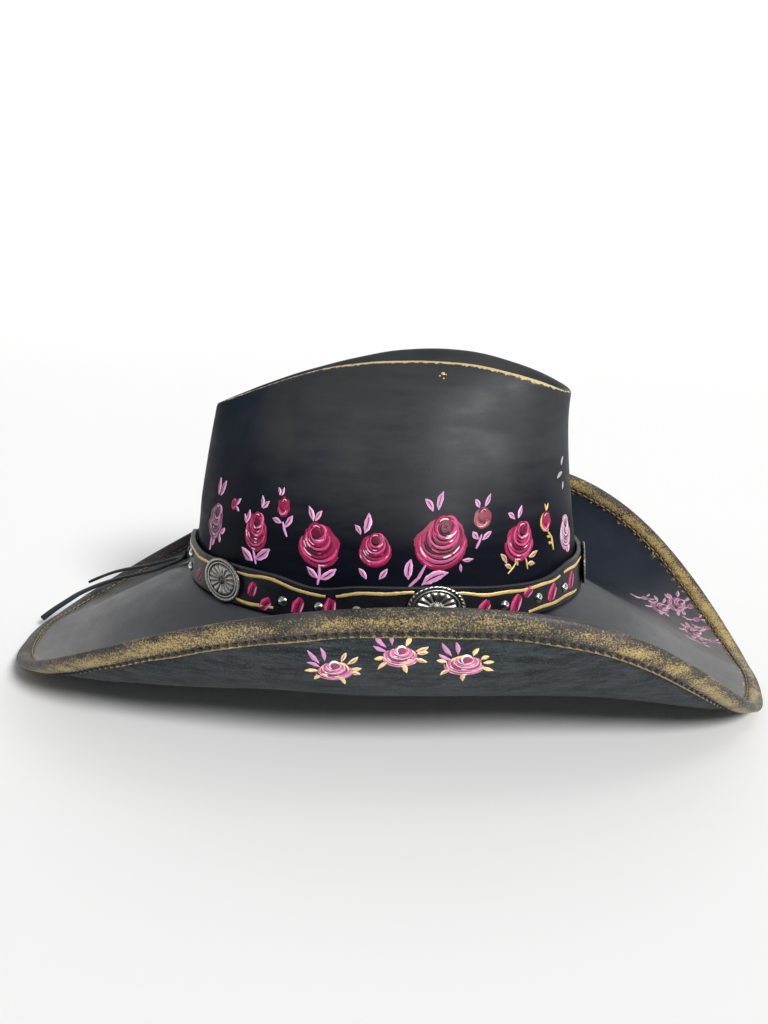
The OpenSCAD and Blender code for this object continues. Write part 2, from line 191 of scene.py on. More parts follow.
def crease_pt(a, w, under=0.0):
    """The top between the ridges: w from 0 at the ridge to 1 at the bottom of the crease."""
    a, w = (np.asarray(x, float) for x in np.broadcast_arrays(a, w))
    ridge = ridge_pt(a)
    x = RIDGE_X + (ridge[..., 0] - RIDGE_X) * (1 - 0.18 * w)
    k = (x - RIDGE_X) / RIDGE_A
    drop = 10 * (1 - 0.55 * k**4) * (1 - np.cos(math.pi * w))
    return plus(x, ridge[..., 1] * (1 - 0.96 * w), ridge_height(k) - under - drop)


# ---------------------------------------------------------------- shape of the hatband

STRAP_THICK, STRAP_HALF, STRAP_SWELL = 2.6, 9.2, 0.10
STRAP_GAP, STRAP_LEAN_LEN, STRAP_LEAN_WID = 0.6, 1.2, 0.6
STRAP_END_GAP = 5.0
CONCHO_AT = [0.0, 289.5, 226.5, 133.5, 70.5]
STUDS_FRONT_AT = [24.5, 38.0, 50.5]
STUDS_BACK_AT = [91.0, 101.0, 111.5]
TIE_STUDS_AT, TIE_STUD_RISE = 158.5, 3.6


# The scalloped upper edge: place from the front, and share of the scallops' depth
SCALLOPS = [
    (0, 0.55), (14, 0.7), (20, 0.85), (26, 0.3), (32, -0.6), (38, -0.8), (48, -0.35), (56, 0.1),
    (63, 0.7), (70.5, 0.95), (85, 0.9), (92, 0.7), (98, -0.25), (102, -0.65), (106, -0.35), (113, 0.8),
    (118, 0.9), (133.5, 0.6), (148, -0.2), (165, 0.1), (180, 0.1),
]


def strap_top(a):
    """Height of the upper edge over the strap's middle line."""
    place = np.degrees(a) % 360
    near = np.minimum(place, 360 - place)
    share = sum(np.interp(near + d, *zip(*SCALLOPS)) for d in (-2, 0, 2)) / 3
    return STRAP_HALF + 2.2 * share


def strap_mid(a):
    """Height of the strap's middle line over the table."""
    return 60.9 + 0.8 * np.cos(2 * a)


def strap_low(a):
    """Depth of the lower edge under the middle line, clear of the brim."""
    return np.minimum(9.4, strap_mid(a) - ROOT_Z - BRIM_THICK / 2 - 0.4)


def strap_pt(a, out, up):
    """A point of the strap: out from its inner face, up from its middle line."""
    a, out, up = (np.asarray(v, float) for v in np.broadcast_arrays(a, out, up))
    u = 0.5 + up / (2 * STRAP_HALF)
    ra = CROWN_A + STRAP_GAP - STRAP_LEAN_LEN * u + out
    rb = CROWN_B + STRAP_GAP - STRAP_LEAN_WID * u + out
    return plus(CROWN_X + ra * np.cos(a), rb * np.sin(a), strap_mid(a) + up)


def on_strap(degrees, up=0.0, out=0.15):
    """Local axes of a fitting on the strap: x along it, y up, z out of its face."""
    a = math.radians(degrees)
    at = strap_pt(a, STRAP_THICK + out, up)
    heading = math.atan2(math.sin(a) / (CROWN_B + 0.3), math.cos(a) / CROWN_A)
    lean_back = STRAP_LEAN_LEN * math.cos(a) * math.cos(heading)
    lean_back += STRAP_LEAN_WID * math.sin(a) * math.sin(heading)
    lean = math.atan(lean_back / (2 * STRAP_HALF))
    z = np.array([math.cos(heading) * math.cos(lean), math.sin(heading) * math.cos(lean), math.sin(lean)])
    x = np.array([-math.sin(heading), math.cos(heading), 0.0])
    return at, x, np.cross(z, x), z


# ---------------------------------------------------------------- mesh tools


def add_mesh(name, verts, faces, body, materials, face_material=None, smooth=True):
    """Makes a mesh piece from points in mm and lets it ride on a body."""
    mesh = bpy.data.meshes.new(name)
    mesh.from_pydata((np.asarray(verts, float).reshape(-1, 3) * MM).tolist(), [], faces)
    for material in materials if isinstance(materials, list) else [materials]:
        mesh.materials.append(material)
    if face_material is not None:
        mesh.polygons.foreach_set("material_index", face_material)
    mesh.polygons.foreach_set("use_smooth", [smooth] * len(mesh.polygons))
    mesh.update()
    obj = bpy.data.objects.new(name, mesh)
    bpy.context.scene.collection.objects.link(obj)
    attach(obj, body)
    return obj


def face_out(obj):
    """Points every face of a closed mesh outwards."""
    bm = bmesh.new()
    bm.from_mesh(obj.data)
    bmesh.ops.recalc_face_normals(bm, faces=bm.faces)
    bm.to_mesh(obj.data)
    bm.free()


def grid_faces(m, n, wrap_rows=False, wrap_cols=True, base=0):
    """Faces between m rows of n points; base is the number of the first point."""
    rows = range(m if wrap_rows else m - 1)
    cols = range(n if wrap_cols else n - 1)
    return [
        (base + i * n + j, base + i * n + (j + 1) % n,
         base + (i + 1) % m * n + (j + 1) % n, base + (i + 1) % m * n + j)
        for i in rows for j in cols
    ]


def tube_faces(rows, n, base=0):
    """Faces of a tube made of rings, closed at both ends."""
    last = base + (rows - 1) * n
    return grid_faces(rows, n, base=base) + [tuple(start + j for j in range(n)) for start in (base, last)]


def mark(obj, name, values):
    """Stores one number per vertex for a material to read."""
    layer = obj.data.attributes.new(name, "FLOAT", "POINT")
    layer.data.foreach_set("value", np.asarray(values, np.float32).ravel())


def wander(p, scale, seed):
    """Smooth made-up unevenness, about -1 to 1, from the place of each point in mm."""
    rng = np.random.default_rng(seed)
    total = np.zeros(p.shape[:-1])
    for _ in range(6):
        k = rng.normal(size=3)
        k *= rng.uniform(0.6, 1.6) / np.linalg.norm(k) * 2 * math.pi / scale
        total += np.sin(p @ k + rng.uniform(0, 6.28))
    return total / 3.0


# ---------------------------------------------------------------- material tools


def as_color(value):
    """A node's output as it is, or a plain colour with its alpha."""
    return value if isinstance(value, bpy.types.NodeSocket) else (*value, 1.0)


class Shader:
    """A node material: small helpers that add and join nodes."""

    def __init__(self, name):
        self.material = bpy.data.materials.new(name)
        self.material.use_nodes = True
        self.tree = self.material.node_tree
        self.bsdf = self.tree.nodes["Principled BSDF"]
        self.place = self.add("ShaderNodeTexCoord").outputs["Object"]

    def add(self, kind, inputs=(), **props):
        node = self.tree.nodes.new(kind)
        for key, value in props.items():
            setattr(node, key, value)
        for key, value in dict(inputs).items():
            self.put(node.inputs[key], value)
        return node

    def put(self, socket, value):
        if isinstance(value, bpy.types.NodeSocket):
            self.tree.links.new(value, socket)
        else:
            socket.default_value = value

    def stretched(self, x, y, z):
        return self.add("ShaderNodeMapping", {"Vector": self.place, "Scale": (x, y, z)}).outputs[0]

    def noise(self, scale, detail=4.0, rough=0.55, where=None, distortion=0.0):
        return self.add("ShaderNodeTexNoise", {
            "Vector": where or self.place, "Scale": scale, "Detail": detail,
            "Roughness": rough, "Distortion": distortion,
        }).outputs["Fac"]

    def cells(self, scale):
        cells = self.add("ShaderNodeTexVoronoi", {"Vector": self.place, "Scale": scale})
        return cells.outputs["Distance"]

    def ramp(self, value, low, high, to_low=0.0, to_high=1.0):
        return self.add("ShaderNodeMapRange", {
            "Value": value, "From Min": low, "From Max": high, "To Min": to_low, "To Max": to_high,
        }).outputs[0]

    def math(self, operation, a, b=0.0):
        return self.add("ShaderNodeMath", {0: a, 1: b}, operation=operation).outputs[0]

    def mix(self, fac, a, b):
        node = self.tree.nodes.new("ShaderNodeMix")
        node.data_type = "RGBA"
        self.put(node.inputs[0], fac)
        self.put(node.inputs[6], as_color(a))
        self.put(node.inputs[7], as_color(b))
        return node.outputs[2]

    def read(self, name, output="Fac"):
        return self.add("ShaderNodeAttribute", attribute_name=name).outputs[output]

    def height(self):
        return self.add("ShaderNodeSeparateXYZ", {0: self.place}).outputs[2]

    def bump(self, height, strength, distance, under=None):
        node = self.add("ShaderNodeBump", {
            "Height": height, "Strength": strength, "Distance": distance,
        })
        if under is not None:
            self.put(node.inputs["Normal"], under)
        return node.outputs[0]

    def finish(self, color, roughness, normal=None, **fixed):
        self.put(self.bsdf.inputs["Base Color"], as_color(color))
        self.put(self.bsdf.inputs["Roughness"], roughness)
        if normal is not None:
            self.put(self.bsdf.inputs["Normal"], normal)
        for key, value in fixed.items():
            self.bsdf.inputs[key.replace("_", " ")].default_value = value
        return self.material


GOLD = (0.50, 0.36, 0.15)
PALE_GOLD = (0.66, 0.52, 0.27)


def leather_grain(s, fine=1500.0, strength=0.16):
    """Fine pebble of smooth hide with softer, wider unevenness under it."""
    wide = s.bump(s.noise(85, 3), 0.10, 0.0012)
    return s.bump(s.math("ADD", s.cells(fine), s.noise(fine * 0.6, 2)), strength, 0.00014, wide)


def crown_material():
    s = Shader("crown_leather")
    navy, charcoal, bottom_shade = (0.003, 0.009, 0.018), (0.031, 0.033, 0.035), (0.0022, 0.0032, 0.008)
    # Painted light and tone: darker navy towards the back, lighter charcoal towards the front; partly the
    # hide's own tone, partly painted shade on the side away from the light.
    frontward = s.ramp(s.add("ShaderNodeSeparateXYZ", {0: s.place}).outputs[0], -0.085, -0.01)
    patches = s.ramp(s.math("ADD", s.noise(14, 3, 0.6), s.ramp(frontward, 0, 1, -0.16, 0.14)), 0.40, 0.64)
    brushed = s.ramp(s.noise(34, 6, 0.62, s.stretched(1, 1, 5.5)), 0.36, 0.70)
    upper = s.ramp(s.height(), 0.088, 0.128)
    cloth = s.mix(patches, navy, charcoal)
    # Painted shade: the crown darkens to near black towards its foot.
    cloth = s.mix(s.math("MULTIPLY", upper, 0.85), bottom_shade, cloth)
    # Painted sheen: the brush marks are lightened most on the upper front, where the light falls.
    cloth = s.mix(
        s.math("MULTIPLY", brushed, s.ramp(s.math("MULTIPLY", upper, frontward), 0, 1, 0.06, 0.42)),
        cloth, (0.046, 0.049, 0.050))
    rub = s.math("ADD", s.read("wear"), s.ramp(s.noise(520, 6, 0.7), 0.3, 0.75, -0.62, 0.42))
    rub = s.ramp(rub, 0.40, 0.62)
    color = s.mix(rub, cloth, s.mix(s.noise(900, 2), GOLD, PALE_GOLD))
    rough = s.ramp(s.math("ADD", s.math("MULTIPLY", brushed, 0.5), s.noise(60, 4)), 0.3, 1.0, 0.44, 0.60)
    shine = s.ramp(s.math("MULTIPLY", upper, s.ramp(frontward, 0, 1, 0.45, 1)), 0, 1, 0.07, 0.26)
    s.put(s.bsdf.inputs["Specular IOR Level"], shine)
    return s.finish(color, rough, leather_grain(s))


def brim_top_material():
    s = Shader("brim_top_leather")
    cloudy = s.ramp(s.noise(22, 5, 0.6), 0.35, 0.70)
    brushed = s.ramp(s.noise(60, 6, 0.65, s.stretched(1.0, 0.35, 1.0)), 0.35, 0.72)
    color = s.mix(cloudy, (0.070, 0.070, 0.072), (0.155, 0.154, 0.152))
    color = s.mix(s.math("MULTIPLY", brushed, 0.35), color, (0.15, 0.148, 0.145))
    # Painted shade: the inner mark darkens the steep sides and the leather next to the crown to dark navy.
    shade = s.read("inner")
    color = s.mix(shade, color, (0.005, 0.010, 0.019))
    rub = s.math("ADD", s.read("wear"), s.ramp(s.noise(380, 6, 0.7), 0.3, 0.75, -0.6, 0.4))
    rub = s.ramp(rub, 0.40, 0.66)
    color = s.mix(rub, color, s.mix(s.noise(700, 2), GOLD, PALE_GOLD))
    rough = s.ramp(s.noise(90, 4), 0.3, 0.75, 0.42, 0.56)
    return s.finish(color, rough, leather_grain(s, 1300, 0.14), Specular_IOR_Level=0.5)


def brim_under_material():
    s = Shader("brim_under_leather")
    fibre = s.noise(300, 8, 0.8, s.stretched(0.16, 1.0, 1.0), 0.3)
    specks = s.ramp(s.noise(1300, 4, 0.75), 0.57, 0.72)
    base = s.mix(s.ramp(s.noise(20, 4), 0.35, 0.7), (0.006, 0.010, 0.013), (0.019, 0.025, 0.028))
    color = s.mix(s.math("MULTIPLY", s.ramp(fibre, 0.42, 0.72), 0.9), base, (0.070, 0.082, 0.087))
    color = s.mix(s.math("MULTIPLY", specks, 0.55), color, (0.20, 0.22, 0.23))
    nap = s.bump(s.math("ADD", fibre, s.noise(1900, 3, 0.8)), 0.5, 0.0005)
    return s.finish(color, 0.86, nap, Sheen_Weight=0.05, Specular_IOR_Level=0.25)


def rim_material():
    s = Shader("rim_leather")
    hide = s.mix(s.ramp(s.noise(55, 5, 0.65), 0.35, 0.68), (0.012, 0.012, 0.014), (0.060, 0.057, 0.054))
    coarse = s.ramp(s.noise(75, 6, 0.7, s.stretched(0.35, 1, 1.6)), 0.34, 0.64, -0.17, 0.15)
    fine = s.ramp(s.noise(1250, 8, 0.85), 0.36, 0.64, -0.50, 0.44)
    rub = s.ramp(s.math("ADD", s.math("ADD", s.read("gold"), coarse), fine), 0.43, 0.63)
    gold = s.mix(s.noise(240, 5, 0.7), (0.25, 0.17, 0.052), (0.64, 0.48, 0.19))
    color = s.mix(rub, hide, gold)
    # Painted shade in the stitch holes.
    color = s.mix(s.math("MULTIPLY", s.read("hole_shade"), 0.92), color, (0.008, 0.008, 0.009))
    pebble = s.bump(s.math("ADD", s.cells(900), s.noise(700, 4, 0.7)), 0.35, 0.0003)
    return s.finish(color, s.ramp(rub, 0, 1, 0.55, 0.42), pebble, Specular_IOR_Level=0.45)


def strap_material():
    s = Shader("strap_leather")
    color = s.mix(s.ramp(s.noise(120, 4), 0.3, 0.7), (0.003, 0.004, 0.007), (0.010, 0.011, 0.014))
    # Lighter grey on the cut edges: partly the raw edge's own tone, partly painted sheen.
    color = s.mix(s.math("MULTIPLY", s.read("cut"), 0.9), color, (0.052, 0.053, 0.058))
    rough = s.ramp(s.noise(160, 3), 0.3, 0.7, 0.34, 0.48)
    return s.finish(color, rough, leather_grain(s, 1400, 0.18), Specular_IOR_Level=0.26)


def lace_material():
    s = Shader("lace_leather")
    color = s.mix(s.noise(260, 4), (0.003, 0.006, 0.012), (0.011, 0.018, 0.028))
    nap = s.bump(s.noise(1300, 4, 0.7), 0.3, 0.0003)
    return s.finish(color, 0.55, nap, Specular_IOR_Level=0.35)


def thread_material(name, light, dark):
    s = Shader(name)
    twist = s.add("ShaderNodeTexWave",
                  {"Vector": s.place, "Scale": 900.0, "Distortion": 1.5}).outputs["Fac"]
    color = s.mix(s.math("MULTIPLY", twist, s.noise(300, 2)), dark, light)
    return s.finish(color, 0.62, s.bump(twist, 0.4, 0.0002))


def metal_material(name, bright, dark, rough_low, rough_high):
    s = Shader(name)
    # Darker where the low mark is: patina in the hollows of the conchos, painted shadow round the foot of
    # the studs.
    patina_and_shade = s.math("ADD", s.read("low"), s.ramp(s.noise(700, 5, 0.7), 0.35, 0.75, -0.22, 0.30))
    color = s.mix(s.ramp(patina_and_shade, 0.25, 0.85), bright, dark)
    rough = s.math("ADD", s.ramp(patina_and_shade, 0.2, 0.9, rough_low, rough_high),
                   s.ramp(s.noise(1500, 3), 0, 1, -0.03, 0.05))
    return s.finish(color, rough, s.bump(s.noise(1200, 4), 0.12, 0.0002), Metallic=1.0)


def sweatband_material():
    s = Shader("sweatband_leather")
    color = s.mix(s.noise(150, 5), (0.045, 0.030, 0.020), (0.095, 0.064, 0.042))
    return s.finish(color, 0.58, leather_grain(s, 1100, 0.22))


def ribbon_material():
    s = Shader("ribbon")
    weave = s.add("ShaderNodeTexWave", {"Vector": s.place, "Scale": 1400.0},
                  bands_direction="Z").outputs["Fac"]
    return s.finish(s.mix(weave, (0.010, 0.010, 0.012), (0.03, 0.03, 0.034)), 0.6,
                    s.bump(weave, 0.4, 0.0002))


def wire_material():
    s = Shader("wire_steel")
    return s.finish(s.mix(s.noise(400), (0.32, 0.32, 0.33), (0.5, 0.5, 0.5)), 0.35, Metallic=1.0)


def paint_material(name, metallic, rough):
    """Dried brush strokes: the stroke's own colour, streaked along with thin dark gaps."""
    s = Shader(name)
    hue = s.read("paint", "Color")
    streak = s.ramp(s.noise(800, 5, 0.7), 0.35, 0.70)
    lighter = s.add("ShaderNodeHueSaturation", {"Color": hue, "Saturation": 0.92, "Value": 1.45}).outputs[0]
    color = s.mix(s.math("MULTIPLY", streak, 0.6), hue, lighter)
    worn = s.ramp(s.noise(1300, 4, 0.75), 0.64, 0.72)
    color = s.mix(s.math("MULTIPLY", worn, 0.55), color, (0.02, 0.015, 0.02))
    return s.finish(color, rough, s.bump(s.noise(1000, 4, 0.7), 0.35, 0.0003), Metallic=metallic,
                    Specular_IOR_Level=0.3)


MAT = {
    "crown": crown_material(), "brim_top": brim_top_material(), "brim_under": brim_under_material(),
    "rim": rim_material(), "strap": strap_material(), "lace": lace_material(),
    "thread": thread_material("thread", (0.045, 0.045, 0.05), (0.008, 0.008, 0.01)),
    "tan_thread": thread_material("tan_thread", (0.42, 0.33, 0.22), (0.2, 0.15, 0.1)),
    "silver": metal_material("antique_silver", (0.44, 0.43, 0.39), (0.022, 0.021, 0.020), 0.30, 0.60),
    "nickel": metal_material("nickel", (0.78, 0.77, 0.74), (0.20, 0.19, 0.18), 0.12, 0.35),
    "sweatband": sweatband_material(), "ribbon": ribbon_material(), "wire": wire_material(),
    "rose_paint": paint_material("rose_paint", 0.0, 0.45),
    "gold_paint": paint_material("gold_paint", 0.35, 0.42),
}

# ---------------------------------------------------------------- laces (free cords)

# Routes of the two free tails of the lace, as in the design
SHORT_ROUTE = [
    (-0.1113, 0.0046, 0.0552), (-0.1140, 0.0080, 0.0505), (-0.1200, 0.0150, 0.0470),
    (-0.1285, 0.0235, 0.0425), (-0.1390, 0.0325, 0.0370), (-0.1495, 0.0405, 0.0320),
    (-0.1610, 0.0475, 0.0275), (-0.1725, 0.0525, 0.0230), (-0.1820, 0.0555, 0.0185),
    (-0.1900, 0.0565, 0.0145),
]
LONG_ROUTE = [
    (-0.1113, 0.0034, 0.0552), (-0.1140, 0.0055, 0.0505), (-0.1200, 0.0120, 0.0460),
    (-0.1285, 0.0195, 0.0405), (-0.1390, 0.0265, 0.0345), (-0.1495, 0.0320, 0.0300),
    (-0.1600, 0.0355, 0.0260), (-0.1700, 0.0365, 0.0225), (-0.1790, 0.0345, 0.0190),
    (-0.1870, 0.0305, 0.0155), (-0.1930, 0.0245, 0.0120), (-0.1980, 0.0170, 0.0090),
    (-0.2015, 0.0090, 0.0065),
]
LACE_WIDTH, LACE_THICK = 4.0, 1.7


def smooth_path(points, per=6):
    """Catmull-Rom curve through the points, in mm."""
    p = np.array(points, float) / MM
    p = np.vstack([2 * p[0] - p[1], p, 2 * p[-1] - p[-2]])
    out = []
    for i in range(1, len(p) - 2):
        for t in np.arange(per) / per:
            out.append(0.5 * (2 * p[i] + (p[i + 1] - p[i - 1]) * t
                              + (2 * p[i - 1] - 5 * p[i] + 4 * p[i + 1] - p[i + 2]) * t * t
                              + (3 * p[i] - p[i - 1] - 3 * p[i + 1] + p[i + 2]) * t**3))
    return np.array([*out, p[-2]])


def flat_section(half_w, half_t, n=20, power=0.45):
    """Outline of a flat strip with rounded corners."""
    u = np.arange(n) * 2 * math.pi / n
    return [(half_w * math.copysign(abs(math.cos(x)) ** power, math.cos(x)),
             half_t * math.copysign(abs(math.sin(x)) ** power, math.sin(x))) for x in u]


def strip_along(name, path, section, body, material, point=0.0):
    """A solid strip swept along a path, lying flat; point is how far its last end is cut to a slant."""
    d = unit(np.gradient(path, axis=0))
    side = unit(np.cross([0, 0, 1], d))
    top = np.cross(d, side)
    rings = np.array([[path[i] + side[i] * u + top[i] * w for u, w in section] for i in range(len(path))])
    rings[-1] += d[-1] * np.array([[point * u / LACE_WIDTH] for u, w in section])
    obj = add_mesh(name, rings, tube_faces(len(path), len(section)), body, material)
    face_out(obj)
    return obj


def make_lace(name, node, route):
    path = smooth_path(route)
    obj = strip_along(name, path, flat_section(LACE_WIDTH / 2, LACE_THICK / 2), "hatband", MAT["lace"], 1.5)
    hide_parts(node)
    return obj


make_lace("lace_end_short", "lace_tail_short", SHORT_ROUTE)
make_lace("lace_end_long", "lace_tail_long", LONG_ROUTE)

# ---------------------------------------------------------------- crown

CROWN_FOOT, CROWN_THICK = 4.0, 2.2


def turn(n):
    return np.arange(n) * 2 * math.pi / n


def soft_step(x, low, high):
    u = np.clip((x - low) / (high - low), 0, 1)
    return u * u * (3 - 2 * u)


def normals_of(rings):
    """Outward normals of a ring-by-ring surface whose columns run round the hat."""
    along = np.gradient(rings, axis=0)
    around = np.roll(rings, -1, 1) - np.roll(rings, 1, 1)
    n = np.cross(around, along)
    return n / np.maximum(np.linalg.norm(n, axis=-1, keepdims=True), 1e-9)


def crown_skin(inset, walls, creases, n):
    """Rings of one face of the crown, from the foot over the softened ridge into the crease."""
    a = turn(n)
    v = 1 - (1 - np.linspace(0, 1, walls)) ** 1.25
    w = np.linspace(1 / creases if inset == 0 else 0.35, 1, creases)
    rings = [base_pt(a, inset) - [0, 0, CROWN_FOOT]]
    rings += [wall_pt(a, x, inset) for x in v] + [crease_pt(a, x, 1.5 * inset) for x in w]
    rings = np.array(rings)
    reach = np.linalg.norm(rings - rings[walls], axis=2, keepdims=True)
    hold = np.exp(-((reach / 3.0) ** 2))
    for _ in range(8):
        middle = (np.roll(rings, 1, 0) + np.roll(rings, -1, 0)) / 2
        middle[[0, -1]] = rings[[0, -1]]
        rings = rings + 0.6 * hold * (middle - rings)
    return rings, reach[..., 0]


def ridge_wear(a, reach):
    """How much gold is rubbed on: thin near the corners, wider from the middle to the front."""
    d = np.degrees(a) % 360
    near = soft_step(d, 186, 205) * (1 - soft_step(d, 350, 359))
    wide = soft_step(d, 240, 268) * (1 - soft_step(d, 318, 345))
    far = 0.45 * soft_step(d, 8, 30) * (1 - soft_step(d, 150, 172))
    strength = np.where(d > 180, near * (0.85 + 0.25 * wide), far)
    return strength * np.exp(-((reach / (0.7 + 0.9 * wide)) ** 2))


def crown_dents(p):
    """How far the shaped leather stands out of the true form, in mm, none near the strap."""
    return (0.6 * wander(p, 75, 3) + 0.14 * wander(p, 22, 4)) * soft_step(p[..., 2], 74, 92)


def make_crown():
    n, walls, creases = 360, 84, 30
    outer, reach = crown_skin(0.0, walls, creases, n)
    inner, _ = crown_skin(CROWN_THICK, 30, 12, n)
    outer = outer + normals_of(outer) * crown_dents(outer)[..., None]
    rings = np.concatenate([inner[::-1], outer])
    m = len(rings)
    faces = grid_faces(m, n)
    for base in (0, (m - 1) * n):
        faces += [(base + j, base + j + 1, base + n - j - 1, base + (n - j) % n)
                  for j in range(1, n // 2 - 1)]
        faces += [(base, base + 1, base + n - 1), (base + n // 2 - 1, base + n // 2, base + n // 2 + 1)]
    obj = add_mesh("crown", rings, faces, "hat", MAT["crown"])
    wear = np.zeros((m, n))
    wear[len(inner):] = ridge_wear(turn(n)[None, :], reach)
    mark(obj, "wear", wear)
    face_out(obj)
    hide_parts("crown_side", "crown_top")


make_crown()

# ---------------------------------------------------------------- brim and its bound edge

BINDING_UNDER, BINDING_TOP = 12.5, 10.0
STITCH_IN, STITCH_IN_UNDER, STITCH_PITCH = 9.0, 10.5, 4.5
RIM_SPAN = 3 * EDGE_HANDLE


def brim_skin(a, t, off=0.0):
    """The brim with the slight unevenness of shaped leather, none at its root or edge."""
    a, t, off = np.broadcast_arrays(a, t, off)
    q = brim_pt(a, t, off)
    fade = np.clip(t, 0, 1) ** 2 * np.clip(1 - t, 0, 1) * 6.75
    return q + plus(0, 0, 1) * (0.7 * wander(brim_pt(a, t), 85, 9) * fade)[..., None]


def make_brim():
    n, rows = 640, 56
    a = turn(n)
    t = np.linspace(0, 1 - (NOSE + 1) / RIM_SPAN, rows)
    top = np.array([brim_skin(a, x, BRIM_THICK / 2) for x in t])
    low = np.array([brim_skin(a, x, -BRIM_THICK / 2) for x in t])
    rings = np.concatenate([low, top[::-1]])
    faces = grid_faces(2 * rows, n, wrap_rows=True)
    skin = [1] * (rows * n) + [0] * (rows * n)
    obj = add_mesh("brim", rings, faces, "hat", [MAT["brim_top"], MAT["brim_under"]], skin)
    # Painted shade, stored as the inner mark: darker on the steep sides and next to the crown.
    gap = np.minimum(np.degrees(a), 360 - np.degrees(a))
    side = soft_step(gap, 14, 46) * (1 - soft_step(gap, 108, 156))
    root_shade = 0.75 * (1 - soft_step(np.concatenate([t, t[::-1]]), 0.05, 0.62))
    mark(obj, "inner", np.maximum(side[None, :], root_shade[:, None]))
    depth = RIM_SPAN * (1 - np.concatenate([t, t[::-1]]))[:, None]
    rub = 0.30 + 0.30 * np.clip(np.cos(a - math.radians(40)), 0, 1)
    mark(obj, "wear", rub[None, :] * np.exp(-np.maximum(0, depth - BINDING_TOP) / 3.5))
    face_out(obj)
    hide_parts("brim_leather")


def even_places(curve, n):
    """Angles spaced evenly along a closed curve, and its length."""
    a = np.linspace(0, 2 * math.pi, 6001)
    run = run_along(curve(a))
    return np.interp(np.arange(n) / n * run[-1], run, a), run[-1]


STITCH_SHARE = 0.72  # of the pitch, on the crown
STITCHES = round(even_places(edge_pt, 2)[1] / STITCH_PITCH)


def rim_profile():
    """Section of the binding, from its lower end round to its upper one: (depth in from the edge, side)."""
    low = [(x, -1.0) for x in np.linspace(BINDING_UNDER, NOSE, 18)]
    nose = [(NOSE - NOSE * math.sin(u), -math.cos(u)) for u in np.linspace(0, math.pi, 11)[1:-1]]
    top = [(x, 1.0) for x in np.linspace(NOSE, BINDING_TOP, 15)]
    return low + nose + top


def rim_swell(s, side, phase, seam, end):
    """Padded look: plump between edge and seam, drawn in at each stitch, thin at the cut end."""
    plump = 0.55 * np.sin(np.clip((s - 1.0) / (seam - 1.0), 0, 1) * math.pi) ** 0.8
    groove = -0.42 * np.exp(-(((s - seam) / 0.8) ** 2))
    pull = -0.30 * np.exp(-(((s - seam) / 2.6) ** 2)) * (0.5 + 0.5 * np.cos(2 * math.pi * phase))
    end_drop = -0.55 * soft_step(s, end - 0.9, end)
    return (plump + groove + pull + end_drop) * side


# How strongly the gold is rubbed on the bound edge, by degrees from the front
RIM_RUB = [
    (0, 0.95), (25, 1.15), (60, 1.1), (100, 0.8), (160, 0.75), (205, 0.88), (230, 0.98), (250, 0.78),
    (285, 0.74), (305, 1.0), (335, 1.04), (360, 0.9),
]


def make_rim():
    per = 8
    n = STITCHES * per
    a, _ = even_places(edge_pt, n)
    inner, outer = BRIM_THICK / 2 + 0.05, BRIM_THICK / 2 + 0.05 + BINDING_THICK
    profile = rim_profile()
    phase = (np.arange(n) % per) / per
    waver = 0.45 * wander(edge_pt(a), 38, 5)
    rubbed = np.interp(np.degrees(a), *zip(*RIM_RUB))
    rings, gold, hole_shade = [], [], []
    for s, side in profile:
        seam, end = (STITCH_IN_UNDER, BINDING_UNDER) if side < 0 else (STITCH_IN, BINDING_TOP)
        lean = (s - seam) * 0.16 * (1 if side < 0 else 0)
        depth = s + waver * soft_step(s, NOSE, end)
        swell = rim_swell(s, np.sign(side), phase + lean, seam, end) * abs(side)
        rings.append(rim_pt(a, depth, outer * side + swell))
        lip = soft_step(s, seam + 0.5, end - 0.3)
        crest = 0.33 + 0.27 * math.sin(min(max((s - 1) / (seam - 1), 0), 1) * math.pi)
        crest = crest * (1 - 0.5 * soft_step(side, -0.2, 0.9) * (np.cos(a) < 0.2))
        gold.append((crest * (1 - lip) + lip * 0.95) * rubbed)
        # Painted shade: dark spots in the stitch holes along each seam.
        hole = np.exp(-(((s - seam) / 0.9) ** 2)) * (0.5 + 0.5 * np.cos(2 * math.pi * (phase + lean))) ** 3
        hole_shade.append(hole)
    for s, off in [(BINDING_TOP, inner), (NOSE, inner), (1.2, 0.0), (NOSE, -inner),
                   (BINDING_UNDER, -inner)]:
        rings.append(rim_pt(a, s + waver * soft_step(s, NOSE, BINDING_TOP), off))
        gold.append(0 * a)
        hole_shade.append(0 * a)
    rings = np.array(rings)
    obj = add_mesh("rim_binding", rings, grid_faces(len(rings), n, wrap_rows=True), "hat", MAT["rim"])
    mark(obj, "gold", np.array(gold))
    mark(obj, "hole_shade", np.array(hole_shade))
    face_out(obj)
    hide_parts("edge_binding")


make_brim()
make_rim()

# ---------------------------------------------------------------- stitches


def make_stitches(name, seam, radius, bow, node, material):
    """One mesh of short rounded threads: seam gives their starts, their ends and which way they bow."""
    verts, faces, rows, sides = [], [], 7, 6
    for p, q, normal in zip(*seam):
        d = q - p
        d /= np.linalg.norm(d)
        side = np.cross(normal, d)
        side /= np.linalg.norm(side)
        lift = np.cross(d, side)
        base = len(verts)
        for k in range(rows):
            f = k / (rows - 1)
            fat = radius * (0.25 + 0.75 * math.sin(math.pi * min(max(f, 0.06), 0.94)) ** 0.5)
            middle = p + (q - p) * f + lift * bow * math.sin(math.pi * f)
            for j in range(sides):
                u = 2 * math.pi * j / sides
                verts.append(middle + side * fat * math.cos(u) + lift * fat * math.sin(u))
        faces += tube_faces(rows, sides, base)
    obj = add_mesh(name, verts, faces, "hat", MAT[material])
    face_out(obj)
    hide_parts(node)


